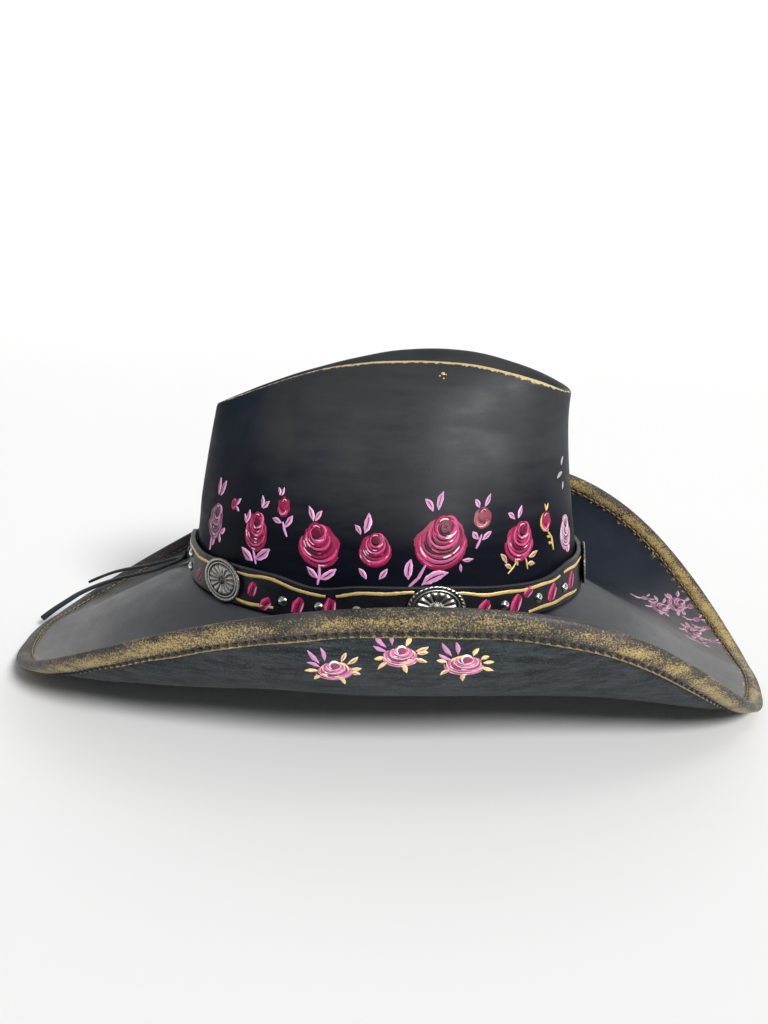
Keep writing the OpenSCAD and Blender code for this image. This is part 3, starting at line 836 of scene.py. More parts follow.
def rim_seam(side, depth, length, slant):
    """Ends and outward directions of the stitches of one rim seam."""
    a, _ = even_places(edge_pt, STITCHES)
    step = (np.roll(a, -1) - a) % (2 * math.pi)
    half = step * length / STITCH_PITCH / 2
    off = side * (BRIM_THICK / 2 + BINDING_THICK + 0.05)
    p, q = rim_pt(a - half, depth - slant, off), rim_pt(a + half, depth + slant, off)
    out = rim_pt(a, depth, off) - rim_pt(a, depth, 0)
    return p, q, unit(out)


def foot_seam(inset, z, pitch):
    """Ends and outward directions of the stitches round the crown's foot."""
    n = round(math.pi * (CROWN_A + CROWN_B) / pitch)
    a, half = turn(n), STITCH_SHARE / 2 * 2 * math.pi / n
    drop = np.array([0, 0, z - ROOT_Z])
    out = base_pt(a, inset - 1) - base_pt(a, inset)
    return base_pt(a - half, inset) + drop, base_pt(a + half, inset) + drop, out


def crown_seam(inset, pitch):
    """Ends and inward directions of the stitches in the inner corner under the ridge."""
    n = round(even_places(ridge_pt, 2)[1] / pitch)
    a, _ = even_places(ridge_pt, n)
    half = (np.roll(a, -1) - a) % (2 * math.pi) * STITCH_SHARE / 2
    p, q = ridge_pt(a - half, inset), ridge_pt(a + half, inset)
    return p, q, (p + q) / 2 - ridge_pt(a, inset - 2)


def make_seams():
    top = rim_seam(1, STITCH_IN, 3.1, 0.0)
    under = rim_seam(-1, STITCH_IN_UNDER, 2.6, 1.15)
    foot = foot_seam(0.15, ROOT_Z + 2.6, 4.2)
    ridge = crown_seam(CROWN_THICK + 0.35, 4.4)
    p, q, out = foot_seam(CROWN_THICK + 1.4, ROOT_Z - 1.5, 4.0)
    make_stitches("rim_stitches_top", top, 0.42, 0.15, "edge_thread_top", "tan_thread")
    make_stitches("rim_stitches_under", under, 0.55, 0.2, "edge_thread_under", "thread")
    make_stitches("foot_stitches", foot, 0.4, 0.05, "root_thread", "thread")
    make_stitches("ridge_stitches", ridge, 0.42, 0.1, "crown_thread", "thread")
    inside = (p, q, -out)
    make_stitches("sweatband_stitches", inside, 0.4, 0.1, "sweatband_thread", "tan_thread")


make_seams()

# ---------------------------------------------------------------- sweatband and bow

SWEAT_THICK, SWEAT_HEIGHT = 1.2, 34.0


def make_sweatband():
    n, rows = 300, 22
    a = turn(n)
    rise = SWEAT_HEIGHT * np.linspace(0, 1, rows) - CROWN_FOOT
    near, far = CROWN_THICK + 0.12, CROWN_THICK + 0.12 + SWEAT_THICK
    ripple = 0.25 * np.sin(11 * a) + 0.15 * np.sin(17 * a + 1)
    back, face = [], []
    for i, z in enumerate(rise):
        grow = soft_step(i / rows, 0.4, 1.0)
        level = np.maximum(z, 0) + ROOT_Z
        drop = plus(0, 0, min(z, 0.0))
        back.append(wall_at(a, level, near) + drop)
        face.append(wall_at(a, level, far + 0.35 * grow * (1 + ripple)) + drop)
    edge = wall_at(a, rise[-1] + ROOT_Z + 0.6 + 0.4 * ripple, (near + far) / 2 + 0.2)
    rings = np.array([*back, edge, *face[::-1]])
    faces = grid_faces(len(rings), n, wrap_rows=True)
    obj = add_mesh("sweatband_lining", rings, faces, "hat", MAT["sweatband"])
    face_out(obj)
    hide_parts("sweatband")


def ribbon_loop(verts, center, reach, depth, half_w, flare):
    """Closed loop of upright ribbon, seen from above as a flat oval; wider at its far end."""
    n, base = 28, len(verts)
    thick = 0.28
    for i in range(n):
        u = 2 * math.pi * i / n
        y, x = reach * (1 - math.cos(u)) / 2, depth * math.sin(u)
        wide = half_w + flare * (1 - math.cos(u)) / 2
        nx, ny = math.sin(u), -math.cos(u) * math.copysign(1, reach)
        for dz, dn in ((-wide, -thick), (wide, -thick), (wide, thick), (-wide, thick)):
            verts.append(center + np.array([x + nx * dn, y + ny * dn * 0.3, dz]))
    return grid_faces(n, 4, wrap_rows=True, base=base)


def make_bow():
    """Two loops of ribbon and the small knot between them."""
    at = np.array([CROWN_X - CROWN_A + CROWN_THICK + SWEAT_THICK + 1.9, 0.0, ROOT_Z + 8])
    verts, faces = [], []
    for reach in (9.0, -9.0):
        faces += ribbon_loop(verts, at, reach, 0.8, 1.7, 2.0)
    base, rows, sides = len(verts), 9, 14
    for i in range(rows):
        u = math.pi * i / (rows - 1)
        for j in range(sides):
            w = 2 * math.pi * j / sides
            wide = 1.7 * math.sin(u) ** 0.6 + 0.05
            x, y = 0.3 + 0.9 * wide / 1.7 * math.cos(w), wide * math.sin(w)
            verts.append(at + np.array([x, y, -2.3 * math.cos(u)]))
    faces += tube_faces(rows, sides, base)
    obj = add_mesh("sweatband_ribbon_bow", verts, faces, "hat", MAT["ribbon"])
    face_out(obj)
    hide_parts("sweatband_bow")


make_sweatband()
make_bow()

# ---------------------------------------------------------------- strap


def strap_section(half, low):
    """Rounded section of the strap as (out, up), going round it once."""
    t, c = STRAP_THICK, 0.45
    face = [(t + STRAP_SWELL * math.sin(math.pi * f), -low + c + (half + low - 2 * c) * f)
            for f in np.linspace(0, 1, 15)]
    top = [(t - c + c * math.cos(u), half - c + c * math.sin(u))
           for u in np.linspace(0, math.pi / 2, 5)[1:]]
    top += [(t / 2, half + 0.06), (c, half), (0.08, half - 0.25)]
    foot = [(0.0, -low + 0.3), (c, -low), (t / 2, -low - 0.05)]
    foot += [(t - c + c * math.sin(u), -low + c - c * math.cos(u))
             for u in np.linspace(0, math.pi / 2, 5)[:-1]]
    return face + top + foot


def make_strap():
    first, last, n = math.radians(180 + STRAP_END_GAP), math.radians(540 - STRAP_END_GAP), 820
    rings, cut = [], []
    for a in np.linspace(first, last, n):
        half, low = float(strap_top(a)), float(strap_low(a))
        section = np.array(strap_section(half, low))
        rings.append(strap_pt(a, section[:, 0], section[:, 1]))
        # The cut edges, painted lighter: partly their own tone, partly painted sheen.
        edge = (section[:, 1] > half - 0.3) | (section[:, 1] < -low + 0.3)
        cut.append(np.where(edge & (section[:, 0] < STRAP_THICK - 0.05), 1.0, 0.0))
    rings = np.array(rings)
    obj = add_mesh("strap", rings, tube_faces(*rings.shape[:2]), "hatband", MAT["strap"])
    mark(obj, "cut", np.array(cut))
    face_out(obj)
    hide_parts("band_strap")


make_strap()

# ---------------------------------------------------------------- conchos and studs

CONCHO_A, CONCHO_B, CONCHO_RISE, PETALS, ROPE = 14.0, 10.75, 1.6, 15, 34
CONCHO_NODES = [
    "concho_front", "concho_near_front", "concho_near_back", "concho_far_back", "concho_far_front",
]


def concho_height(r, u):
    """Relief of the cast face: rope rim, groove, plain ring, fluted petals, middle dome."""
    twist = 0.5 + 0.5 * np.cos(ROPE * u + 26 * (r - 0.93))
    rope = 0.95 + 0.62 * np.sqrt(np.clip(1 - ((r - 0.93) / 0.072) ** 2, 0, 1)) * (0.62 + 0.38 * twist**0.7)
    ring = 0.95 + 0.42 * np.sqrt(np.clip(1 - ((r - 0.785) / 0.048) ** 2, 0, 1))
    flute = np.abs(np.cos(PETALS * u / 2)) ** 0.75
    tip = np.sqrt(np.clip(1 - (np.clip(r - 0.56, 0, 1) / 0.155) ** 2, 0, 1))
    petal = 0.80 + (0.25 + 0.62 * flute) * tip * (1 - 0.45 * soft_step(r, 0.55, 0.2))
    collar = 1.35 + 0.25 * np.cos(24 * u) * np.exp(-(((r - 0.235) / 0.02) ** 2))
    dome = 1.35 + 0.85 * np.sqrt(np.clip(1 - (r / 0.2) ** 2, 0, 1))
    z = np.where(r > 0.858, rope, np.where(r > 0.735, ring, petal))
    z = np.where(r < 0.26, collar, z)
    return np.where(r < 0.2, dome, z)


def concho_rings(n):
    r = np.unique(np.concatenate([
        np.linspace(0.02, 0.2, 8), np.linspace(0.2, 0.27, 6), np.linspace(0.27, 0.72, 18),
        np.linspace(0.72, 0.86, 13), np.linspace(0.86, 1.0, 13)]))
    u = turn(n)
    top = [plus(CONCHO_A * x * np.cos(u), CONCHO_B * x * np.sin(u), concho_height(x, u)) for x in r]
    back = [plus(CONCHO_A * x * np.cos(u), CONCHO_B * x * np.sin(u), z + 0 * u)
            for x, z in [(1.0, 0.55), (0.99, 0.08), (0.97, 0.0), (0.3, 0.0)]]
    return np.array(top + back)


def make_concho(node, degrees):
    at, x, y, z = on_strap(degrees, CONCHO_RISE)
    local = concho_rings(220)
    rings = at + local[..., :1] * x + local[..., 1:2] * y + local[..., 2:] * z
    obj = add_mesh(node + "_cast", rings, tube_faces(*rings.shape[:2]), "hatband", MAT["silver"])
    far = np.hypot(local[..., 0] / CONCHO_A, local[..., 1] / CONCHO_B)
    low = np.clip((1.45 - local[..., 2]) / 0.55, 0, 1)
    mark(obj, "low", np.where(far < 0.2, 0.75, low))
    face_out(obj)
    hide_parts(node)


STUD_UP = -0.8
# Radius and height of a stud's rings, from the middle of its dome out to the flange and under it
STUD_PROFILE = [
    (0.05, 1.5), (0.8, 1.40), (1.5, 1.10), (2.0, 0.72), (2.3, 0.38), (2.42, 0.2), (2.5, 0.12),
    (2.5, -0.05), (1.0, -0.05),
]


def make_studs(node, places):
    """Domed nickel studs with a thin pressed flange."""
    verts, faces, low, sides = [], [], [], 24
    for degrees, up in places:
        at, x, y, z = on_strap(degrees, up)
        base = len(verts)
        for r, h in STUD_PROFILE:
            for u in turn(sides):
                verts.append(at + x * r * math.cos(u) + y * r * math.sin(u) + z * h)
                # Painted shadow: the flange round the foot of each stud is darkened, and the dome a little
                # towards its edge.
                low.append(0.9 if r > 2.35 else 0.25 * (r / 2.3) ** 4)
        faces += tube_faces(len(STUD_PROFILE), sides, base)
    obj = add_mesh(node + "_domes", verts, faces, "hatband", MAT["nickel"])
    mark(obj, "low", low)
    face_out(obj)
    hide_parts(node)


for concho_node, concho_place in zip(CONCHO_NODES, CONCHO_AT):
    make_concho(concho_node, concho_place)
make_studs("studs_near_front", [(360 - d, STUD_UP) for d in STUDS_FRONT_AT])
make_studs("studs_near_back", [(360 - d, STUD_UP) for d in STUDS_BACK_AT])
make_studs("studs_far_back", [(d, STUD_UP) for d in STUDS_BACK_AT])
make_studs("studs_far_front", [(d, STUD_UP) for d in STUDS_FRONT_AT])
make_studs("studs_tie",
           [(d, side * TIE_STUD_RISE) for d in (TIE_STUDS_AT, 360 - TIE_STUDS_AT) for side in (-1, 1)])

# ---------------------------------------------------------------- tie and knot

KNOT_AT = np.array([-109.6, 4.0, 56.5])


def make_tie():
    """Flat lace across the gap between the strap's ends."""
    out = STRAP_THICK + 1.1
    spots = [(168, 1.4), (169, out), *[(d, out) for d in np.arange(170, 191, 1)], (191, out), (192, 1.4)]
    section = flat_section(1.9, 0.8, 20)
    path = np.array([strap_pt(math.radians(d), o, -2) for d, o in spots])
    d = np.gradient(path, axis=0)
    side = unit(np.cross(d, [0, 0, 1]))
    rings = np.array([[p + s * w + np.array([0, 0, u]) for u, w in section] for p, s in zip(path, side)])
    obj = add_mesh("tie_bridge", rings, tube_faces(*rings.shape[:2]), "hatband", MAT["lace"])
    face_out(obj)
    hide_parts("tie_lace")


def make_knot():
    """Lace drawn into an overhand knot: a trefoil of flat thong, facing back."""
    n, sides = 150, 12
    u = turn(n)
    path = plus(-0.9 * np.sin(3 * u), np.sin(u) + 2 * np.sin(2 * u), np.cos(u) - 2 * np.cos(2 * u))
    d = unit(np.roll(path, -1, 0) - np.roll(path, 1, 0))
    flat = unit(np.cross(d, [1, 0, 0]))
    up = np.cross(d, flat)
    rings = [KNOT_AT + path + flat * 1.25 * math.cos(w) + up * 0.75 * math.sin(w) for w in turn(sides)]
    rings = np.array(rings).transpose(1, 0, 2)
    obj = add_mesh("knot", rings, grid_faces(n, sides, wrap_rows=True), "hatband", MAT["lace"])
    face_out(obj)
    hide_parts("lace_knot")


make_tie()
make_knot()

# ---------------------------------------------------------------- painted flowers

MAGENTA, DEEP = (0.28, 0.004, 0.056), (0.115, 0.002, 0.022)
PINK, PALE, LILAC = (0.56, 0.045, 0.19), (0.84, 0.52, 0.70), (0.60, 0.24, 0.48)
BLACK, CREAM, GILT = (0.008, 0.006, 0.010), (0.80, 0.62, 0.36), (0.68, 0.46, 0.14)
PAINT_SINK = 0.14


def wall_patch(degrees, z):
    """Surface of the crown's wall near a place: u mm round the hat, w mm up."""
    a = math.radians(degrees)
    per = float(np.linalg.norm(wall_at(a + 0.01, z) - wall_at(a - 0.01, z))) / 0.02

    def at(u, w, lift):
        def flat(du, dw):
            return wall_at(a + (u + du) / per, z + w + dw)
        p = flat(0, 0)
        n = unit(np.cross(flat(0.5, 0) - flat(-0.5, 0), flat(0, 0.5) - flat(0, -0.5)))
        return p + n * (lift + PAINT_SINK + crown_dents(p))[..., None]
    return at


def brim_patch(degrees, t, side):
    """Surface of the brim near a place: u mm round it, w mm towards its edge; side 1 on top."""
    a = math.radians(degrees)
    per_a = float(np.linalg.norm(brim_pt(a + 0.01, t) - brim_pt(a - 0.01, t))) / 0.02
    per_t = float(np.linalg.norm(brim_pt(a, t + 0.01) - brim_pt(a, t - 0.01))) / 0.02

    def at(u, w, lift):
        off = side * (BRIM_THICK / 2 + lift + 0.05)
        return brim_skin(a + u / per_a, t + w / per_t, off)
    return at


def strap_patch():
    """The whole strap: u mm along it, w mm up; the second result gives u for a place in degrees."""
    a = np.linspace(math.pi, 3 * math.pi, 2001)
    run = run_along(strap_pt(a, STRAP_THICK, 0))

    def at(u, w, lift):
        return strap_pt(np.interp(u, run, a), STRAP_THICK + STRAP_SWELL + lift, w)

    def along(degrees):
        turned = np.asarray(degrees, float) % 360
        return np.interp(np.radians(turned + 360 * (turned < 180)), a, run)
    return at, along


def moved(patch, du, dw):
    """The same patch with its middle moved by du and dw mm."""
    return lambda u, w, lift: patch(u + du, w + dw, lift)


def tilted(patch, lean):
    """The same patch turned by some degrees, clockwise."""
    c, s = math.cos(math.radians(lean)), math.sin(math.radians(lean))
    return lambda u, w, lift: patch(u * c + w * s, w * c - u * s, lift)


class Painting:
    """Brush strokes in low relief, collected into one mesh."""

    def __init__(self):
        self.verts, self.faces, self.hues = [], [], []

    def stroke(self, patch, points, width, hue, lift=0.22, taper=0.6, edge=None):
        """A stroke along points (u, w): width mm at its fullest, thinning towards both ends."""
        p = np.array(points, float)
        run = run_along(p)
        n = max(6, int(run[-1] / 0.9))
        f = np.linspace(0, 1, n)
        line = np.stack([np.interp(f * run[-1], run, p[:, k]) for k in (0, 1)], 1)
        d = np.gradient(line, axis=0)
        d /= np.maximum(np.linalg.norm(d, axis=1, keepdims=True), 1e-6)
        side = np.stack([-d[:, 1], d[:, 0]], 1)
        half = 0.5 * width * np.clip(np.sin(math.pi * np.clip(f, 0.03, 0.97)), 0, 1) ** taper
        half = half * np.array([RNG.uniform(0.88, 1.12) for _ in f])
        base = len(self.verts)
        across = (-1.0, -0.55, 0.0, 0.55, 1.0)
        tint = [RNG.uniform(0.82, 1.18) for _ in across]
        for k, x in enumerate(across):
            spot = line + side * (half * x)[:, None]
            rise = lift * (1 - abs(x) ** 2.5) * np.minimum(1, half / 0.25) - PAINT_SINK * (abs(x) == 1)
            self.verts.extend(patch(spot[:, 0], spot[:, 1], rise))
            color = np.array(edge if edge is not None and abs(x) == 1 else hue) * tint[k]
            self.hues.extend([np.clip(color * RNG.uniform(0.9, 1.1), 0, 1) for _ in f])
        self.faces += grid_faces(len(across), n, wrap_cols=False, base=base)

    def arc(self, patch, center, rx, ry, start, end, width, hue, **more):
        """A stroke along part of an oval, from start to end in degrees."""
        u = np.radians(np.linspace(start, end, 14))
        line = np.stack([center[0] + rx * np.cos(u), center[1] + ry * np.sin(u)], 1)
        self.stroke(patch, line, width, hue, **more)

    def blob(self, patch, center, rx, ry, hue, lift=0.10):
        """A filled patch with a wavy edge, laid in rings."""
        n, rows, base = 28, 5, len(self.verts)
        waves = [(RNG.uniform(0.02, 0.06), RNG.randint(2, 7), RNG.uniform(0, 6.28)) for _ in range(3)]
        u = turn(n)
        edge = 1 + sum(s * np.sin(k * u + q) for s, k, q in waves)
        for i in range(rows):
            f = (i + 0.15) / (rows - 0.85)
            rise = np.full(n, lift * (1 - f**4) - PAINT_SINK * (i == rows - 1))
            x, y = center[0] + rx * f * edge * np.cos(u), center[1] + ry * f * edge * np.sin(u)
            self.verts.extend(patch(x, y, rise))
            self.hues.extend([np.clip(np.array(hue) * RNG.uniform(0.8, 1.15), 0, 1) for _ in range(n)])
        self.faces += grid_faces(rows, n, base=base) + [tuple(base + j for j in range(n))]

    def leaf(self, patch, root, length, lean, width, hue, rib=None):
        """An almond leaf from its root, leaning in degrees from straight up."""
        d = np.array([math.sin(math.radians(lean)), math.cos(math.radians(lean))])
        bend = np.array([d[1], -d[0]]) * RNG.uniform(-0.10, 0.10) * length
        line = [np.array(root) + d * length * f + bend * math.sin(math.pi * f)
                for f in np.linspace(0, 1, 9)]
        self.stroke(patch, line, width, hue, taper=0.9, edge=PALE if rib is not None else None)
        if rib is not None:
            self.stroke(patch, line[1:-1], width * 0.28, rib, lift=0.30)

    def build(self, name, material, slot, body):
        obj = add_mesh(name, self.verts, self.faces, body, MAT[material])
        layer = obj.data.color_attributes.new("paint", "FLOAT_COLOR", "POINT")
        layer.data.foreach_set("color", np.array([[*h, 1.0] for h in self.hues], np.float32).ravel())
        return obj


def bowl(art, at, w, h, hues, heart=0.0, up=0.20):
    """Overlapping petals, from the widest below to the smallest round the heart, with broken dark lines."""
    dark, main, light, glint = hues
    art.blob(at, (0, -0.06 * h), 0.46 * w, 0.42 * h, main)
    for i in range(7):
        g = 1 - i / 7
        center = (heart * w * (1 - g) + RNG.uniform(-0.02, 0.02) * w, (up * (1 - g) - 0.07 * g) * h)
        rx, ry, sway = w * (0.13 + 0.32 * g), h * (0.12 + 0.30 * g), RNG.uniform(-16, 16)
        art.arc(at, center, rx, ry, 178 - 9 * i + sway, 352 + 9 * i + sway, (0.115 - 0.005 * i) * h,
                (main, light, main, dark, light)[i % 5], lift=0.18 + 0.035 * i, taper=0.4)
        start = RNG.uniform(172, 230)
        art.arc(at, center, rx - 0.055 * w, ry - 0.055 * h, start, start + RNG.uniform(70, 130), 0.062 * h,
                BLACK, lift=0.24 + 0.035 * i)
        for _ in range(2):
            start = RNG.uniform(180, 330)
            art.arc(at, center, rx, ry, start, start + RNG.uniform(12, 34) / g**0.5, 0.045 * h,
                    RNG.choice([glint, light]), lift=0.29 + 0.035 * i)


def rose(art, patch, w, h, hues, lean=0.0, heart=0.0):
    """An open rose: petals wrapped round a curled heart near the top."""
    dark, main, light, glint = hues
    at, x, up = tilted(patch, lean), heart * w, 0.22 * h
    bowl(art, at, w, h, hues, heart, 0.22)
    art.blob(at, (x, up), 0.18 * w, 0.19 * h, dark, lift=0.44)
    # Centre from the heart's, radii, start and end in degrees, width, colour, lift
    arcs = (
        (-0.03, 0, 0.16, 0.17, 60, 230, 0.085, main, 0.52),
        (0.04, 0.02, 0.15, 0.15, -80, 100, 0.085, light, 0.54),
        (0, -0.03, 0.10, 0.09, 120, 330, 0.045, BLACK, 0.60),
        (0.02, 0.02, 0.06, 0.06, -30, 200, 0.06, main, 0.60),
        (-0.02, 0.06, 0.10, 0.07, 40, 160, 0.04, glint, 0.66),
        (0.05, -0.05, 0.15, 0.12, 250, 345, 0.045, glint, 0.66),
    )
    for dx, dy, rx, ry, start, end, wide, hue, lift in arcs:
        art.arc(at, (x + dx * w, up + dy * h), rx * w, ry * h, start, end, wide * h, hue, lift=lift)


def bud(art, patch, w, h, hues):
    """A closed flower: short arcs given by centre, radius, start in degrees, width and colour."""
    dark, main, light, glint = hues
    art.blob(patch, (0, 0), 0.48 * w, 0.5 * h, main)
    arcs = (
        (0, 0.02, 0.38, 190, 0.17, light), (0.04, 0.10, 0.30, 170, 0.06, BLACK),
        (0.02, 0.14, 0.24, 200, 0.15, main), (-0.05, 0.2, 0.2, 20, 0.12, dark),
        (0.03, 0.24, 0.15, 30, 0.07, glint), (-0.08, -0.1, 0.3, 215, 0.06, glint),
    )
    for x, up, r, start, wide, hue in arcs:
        lift = 0.24 + 0.5 * (0.4 - r)
        art.arc(patch, (x * w, up * h), r * w, r * h, start, start + 150, wide * h, hue, lift=lift)


def leaves(art, patch, rows, hue, rib=None):
    """Leaves from rows of (across, up, length, lean, width)."""
    for u, w, length, lean, width in rows:
        art.leaf(patch, (u, w), length, lean, width, hue, rib)


RED_ROSE, ROSE = (DEEP, MAGENTA, PINK, PALE), (DEEP, MAGENTA, PINK, (0.95, 0.82, 0.88))
FADED = ((0.10, 0.03, 0.06), (0.22, 0.075, 0.14), (0.42, 0.20, 0.30), (0.72, 0.44, 0.56))
SOFT = ((0.22, 0.10, 0.16), (0.42, 0.22, 0.32), (0.60, 0.40, 0.49), (0.78, 0.60, 0.68))
DUSK = ((0.12, 0.05, 0.085), (0.27, 0.13, 0.20), (0.44, 0.26, 0.35), (0.62, 0.46, 0.54))
BRICK, CHALK = ((0.06, 0.008, 0.014), (0.22, 0.035, 0.05), (0.44, 0.15, 0.15), PALE), (0.40, 0.35, 0.36)
# Roses on a side of the crown: place, height, width, tallness, colours, lean, heart's place, leaves, stem.
# A leaf is (across, up, length, lean, width) from the middle of its rose.
CROWN_ROSES = [
    (215.5, 87.5, 16.5, 18.5, FADED, 4, 0.05,
     [(-1.5, 11.5, 8, -5, 3.4), (0.8, 11.5, 8.5, 24, 3.8), (6.5, -5.5, 5.5, 50, 2.6),
      (6.5, -6, 4, 170, 2.4), (-1, -13.5, 5, 35, 2.4)], [(-2, -9.5), (-2.6, -16)]),
    (237.0, 90.0, 15.4, 19.4, RED_ROSE, 3, 0.04,
     [(2.3, 10.2, 5.4, -8, 2.5), (3.2, 10.0, 5.2, 42, 2.3), (-7.6, 1.6, 6.5, 14, 2.8),
      (-7.2, 1.4, 4.5, -28, 2.0), (-0.9, -15.4, 9.4, -58, 4.4), (0.6, -14.2, 11.2, 54, 4.4)],
     [(-0.9, -10), (0.2, -13.5), (1.4, -16.5)]),
    (258.0, 88.6, 22.7, 20.7, RED_ROSE, 9, -0.12,
     [(-4.2, 9.6, 7.2, -27, 2.6), (-3.2, 9.8, 5.6, 30, 2.6), (-0.2, -16.4, 7.6, -50, 3.0),
      (0.6, -16.8, 10, 54, 3.6)], [(0.2, -9.5), (0.4, -14.5), (-0.4, -19.4)]),
    (273.0, 88.6, 16.7, 16.3, RED_ROSE, -4, 0.04,
     [(-5.4, 6.4, 8.8, 8, 3.8), (-7.2, 5.6, 5.2, -38, 2.3), (-3.4, -14.6, 6.2, -38, 2.8),
      (2.6, -14.4, 6.4, 36, 2.8)], []),
    (290.5, 92.6, 27.0, 25.5, ROSE, -3, 0.08,
     [(-4.7, 12.4, 6.8, -38, 2.7), (-2.1, 12.9, 8.2, 14, 3.0), (-14.6, -18.2, 9.6, 5, 4.2),
      (-8.2, -20.8, 13.6, 66, 5.2), (10.8, -9.8, 5.8, 88, 1.9), (10.6, -15.4, 4.0, -8, 1.6)],
     [(-6.4, -10.5), (-10.0, -17.5), (-14.8, -22.2)]),
    (316.0, 89.2, 19.5, 19.4, RED_ROSE, 5, 0.06,
     [(-3.6, 9.4, 5.4, -52, 2.3), (-1.4, 9.6, 6.0, 20, 2.8)], []),
    (342.0, 86.7, 13.5, 18.2, SOFT, 0, 0.0, [(2.2, -11.5, 3.8, 32, 1.7), (1.6, -11.5, 3.2, -28, 1.5)],
     []),
]
# Buds on a side of the crown: place, height, width, tallness, colours, leaves, stem
CROWN_BUDS = [
    (225.5, 98.0, 5.6, 5.3, RED_ROSE, [(2.3, -0.2, 4.6, 36, 2.0), (2.3, -0.6, 3.4, 124, 1.7)], []),
    (246.0, 102.5, 7.3, 8.7, RED_ROSE,
     [(-3.1, 4.8, 3.6, -22, 1.8), (-2.0, 4.8, 3.8, 12, 1.7), (-0.2, -7.2, 5.6, -76, 2.6),
      (1.8, -9.0, 7.0, 32, 3.0)], [(0.5, -6.6), (1.6, -9.8), (3.4, -13.0)]),
    (302.5, 101.0, 10.0, 9.5, BRICK,
     [(-2.0, 4.7, 4.4, -32, 2.5), (1.0, 5.0, 6.2, 29, 2.3), (-2.0, -9.2, 4.8, -41, 2.7),
      (0.0, -9.8, 6.0, 55, 2.7)], [(-0.4, -7.2), (-1.4, -10.2), (-3.2, -13.4)]),
    (328.0, 94.5, 8.0, 9.4, RED_ROSE, [], []),
]
# Leaves round the rose at 316 degrees, on both sides
GOLD_LEAVES = [
    (-8.2, -10.6, 6.4, -36, 2.4), (-5.2, -13.6, 5.0, -58, 2.0), (-1.6, -12.4, 4.6, -30, 2.0),
    (5.6, -9.4, 6.6, 72, 2.6), (4.6, -12.4, 5.4, 98, 2.2),
]
GOLD_STEMS = [[(-2.6, -10.5), (-4.4, -13.0), (-7.4, -15.4)], [(3.4, -9.4), (4.4, -12.0), (4.8, -15.0)]]
# Specks of gold just under the ridge: place, mm below it, size
GOLD_SPECKS = [(288.2, 5.5, 1.9), (287.2, 6.6, 1.0), (288.5, 7.6, 0.9), (289.1, 5.9, 0.8)]


def paint_crown_side(art, gilt, flip):
    """The flowers of one side of the crown; flip puts them on the far side."""
    def place(d):
        return 360 - d if flip else d
    for d, z, w, h, hues, lean, heart, foliage, stem in CROWN_ROSES:
        patch = wall_patch(place(d), z)
        leaves(art, patch, foliage, LILAC, DEEP)
        if stem:
            art.stroke(patch, stem, 1.5, LILAC, taper=0.3)
        rose(art, patch, w, h, hues, lean, heart)
    for d, z, w, h, hues, foliage, stem in CROWN_BUDS:
        patch = wall_patch(place(d), z)
        leaves(art, patch, foliage, LILAC, DEEP)
        if stem:
            art.stroke(patch, stem, 1.4, LILAC, taper=0.3)
        bud(art, patch, w, h, hues)
    gilded = wall_patch(place(316), 89.2)
    leaves(gilt, gilded, GOLD_LEAVES, GILT, DEEP)
    for stem in GOLD_STEMS:
        gilt.stroke(gilded, stem, 1.0, GILT, taper=0.3)
    paint_gold_bud(gilt, wall_patch(place(328.0), 94.5))
    pale = wall_patch(place(340), 113.0)
    leaves(art, pale, [(-3.2, 0, 5.6, 64, 2.4), (1.0, 6.0, 4.6, 30, 2.0), (1.4, -6, 3.8, 14, 1.3)], CHALK)


def paint_gold_bud(gilt, patch):
    """A gold curl with its stem and leaves round the bud at 328 degrees."""
    gilt.arc(patch, (0, 0), 3.9, 4.6, 120, 300, 1.0, GILT, lift=0.42)
    gilt.stroke(patch, [(1.0, -4.6), (4.4, -8.3), (5.8, -14.7)], 1.3, GILT, taper=0.35)
    leaves(gilt, patch, [(0.3, 4.9, 3.6, -14, 1.1), (0.6, 4.9, 3.8, 26, 1.2), (3.4, -8.0, 3.2, -72, 1.4),
                         (4.6, -11.0, 3.2, -76, 1.5)], GILT)


def paint_crown():
    art, gilt = Painting(), Painting()
    for flip in (False, True):
        paint_crown_side(art, gilt, flip)
    for d, down, size in GOLD_SPECKS:
        top = float(ridge_pt(math.radians(d))[2])
        gilt.blob(wall_patch(d, top - down), (0, 0), size / 2, size / 2.8, GILT)
    art.build("crown_roses", "rose_paint", "rose_paint", "hat")
    gilt.build("crown_gold_leaves", "gold_paint", "gold_paint", "hat")


def brim_flower(art, patch, w, h, body, loop):
    """A low flower with a few fat pale petals round it."""
    for lean in (-128, -88, 18, 52, 84, 118, 172):
        lean += RNG.uniform(-14, 14)
        out = 0.40 * w * math.sin(math.radians(lean)), 0.38 * h * math.cos(math.radians(lean))
        art.leaf(patch, out, RNG.uniform(3.6, 6.2), lean, 2.5, loop,
                 body[0] if RNG.random() < 0.4 else None)
    bowl(art, patch, w, h, body)
    art.blob(patch, (0, 0.2 * h), 0.16 * w, 0.20 * h, body[0], lift=0.44)
    art.arc(patch, (0.02 * w, 0.2 * h), 0.12 * w, 0.16 * h, 20, 250, 0.10 * h, body[3], lift=0.54)
    for _ in range(5):
        start = RNG.uniform(0, 360)
        art.arc(patch, (0, 0), 0.34 * w, 0.32 * h, start, start + RNG.uniform(20, 50), 0.07 * h, loop,
                lift=0.56)


# Flowers on the brim: degrees from the front, share of the way out, width and height
FLOWERS_UNDER = [(258.5, 0.725, 18, 12), (266.5, 0.785, 17, 12), (274.5, 0.745, 19, 13)]
FLOWERS_FRONT = [(32, 0.66, 15, 12), (32, 0.80, 15, 12), (20, 0.76, 15, 12)]
BUDS_FRONT = [(37, 0.60), (30, 0.87), (25.5, 0.85), (22, 0.87), (16.5, 0.85), (13.5, 0.73)]


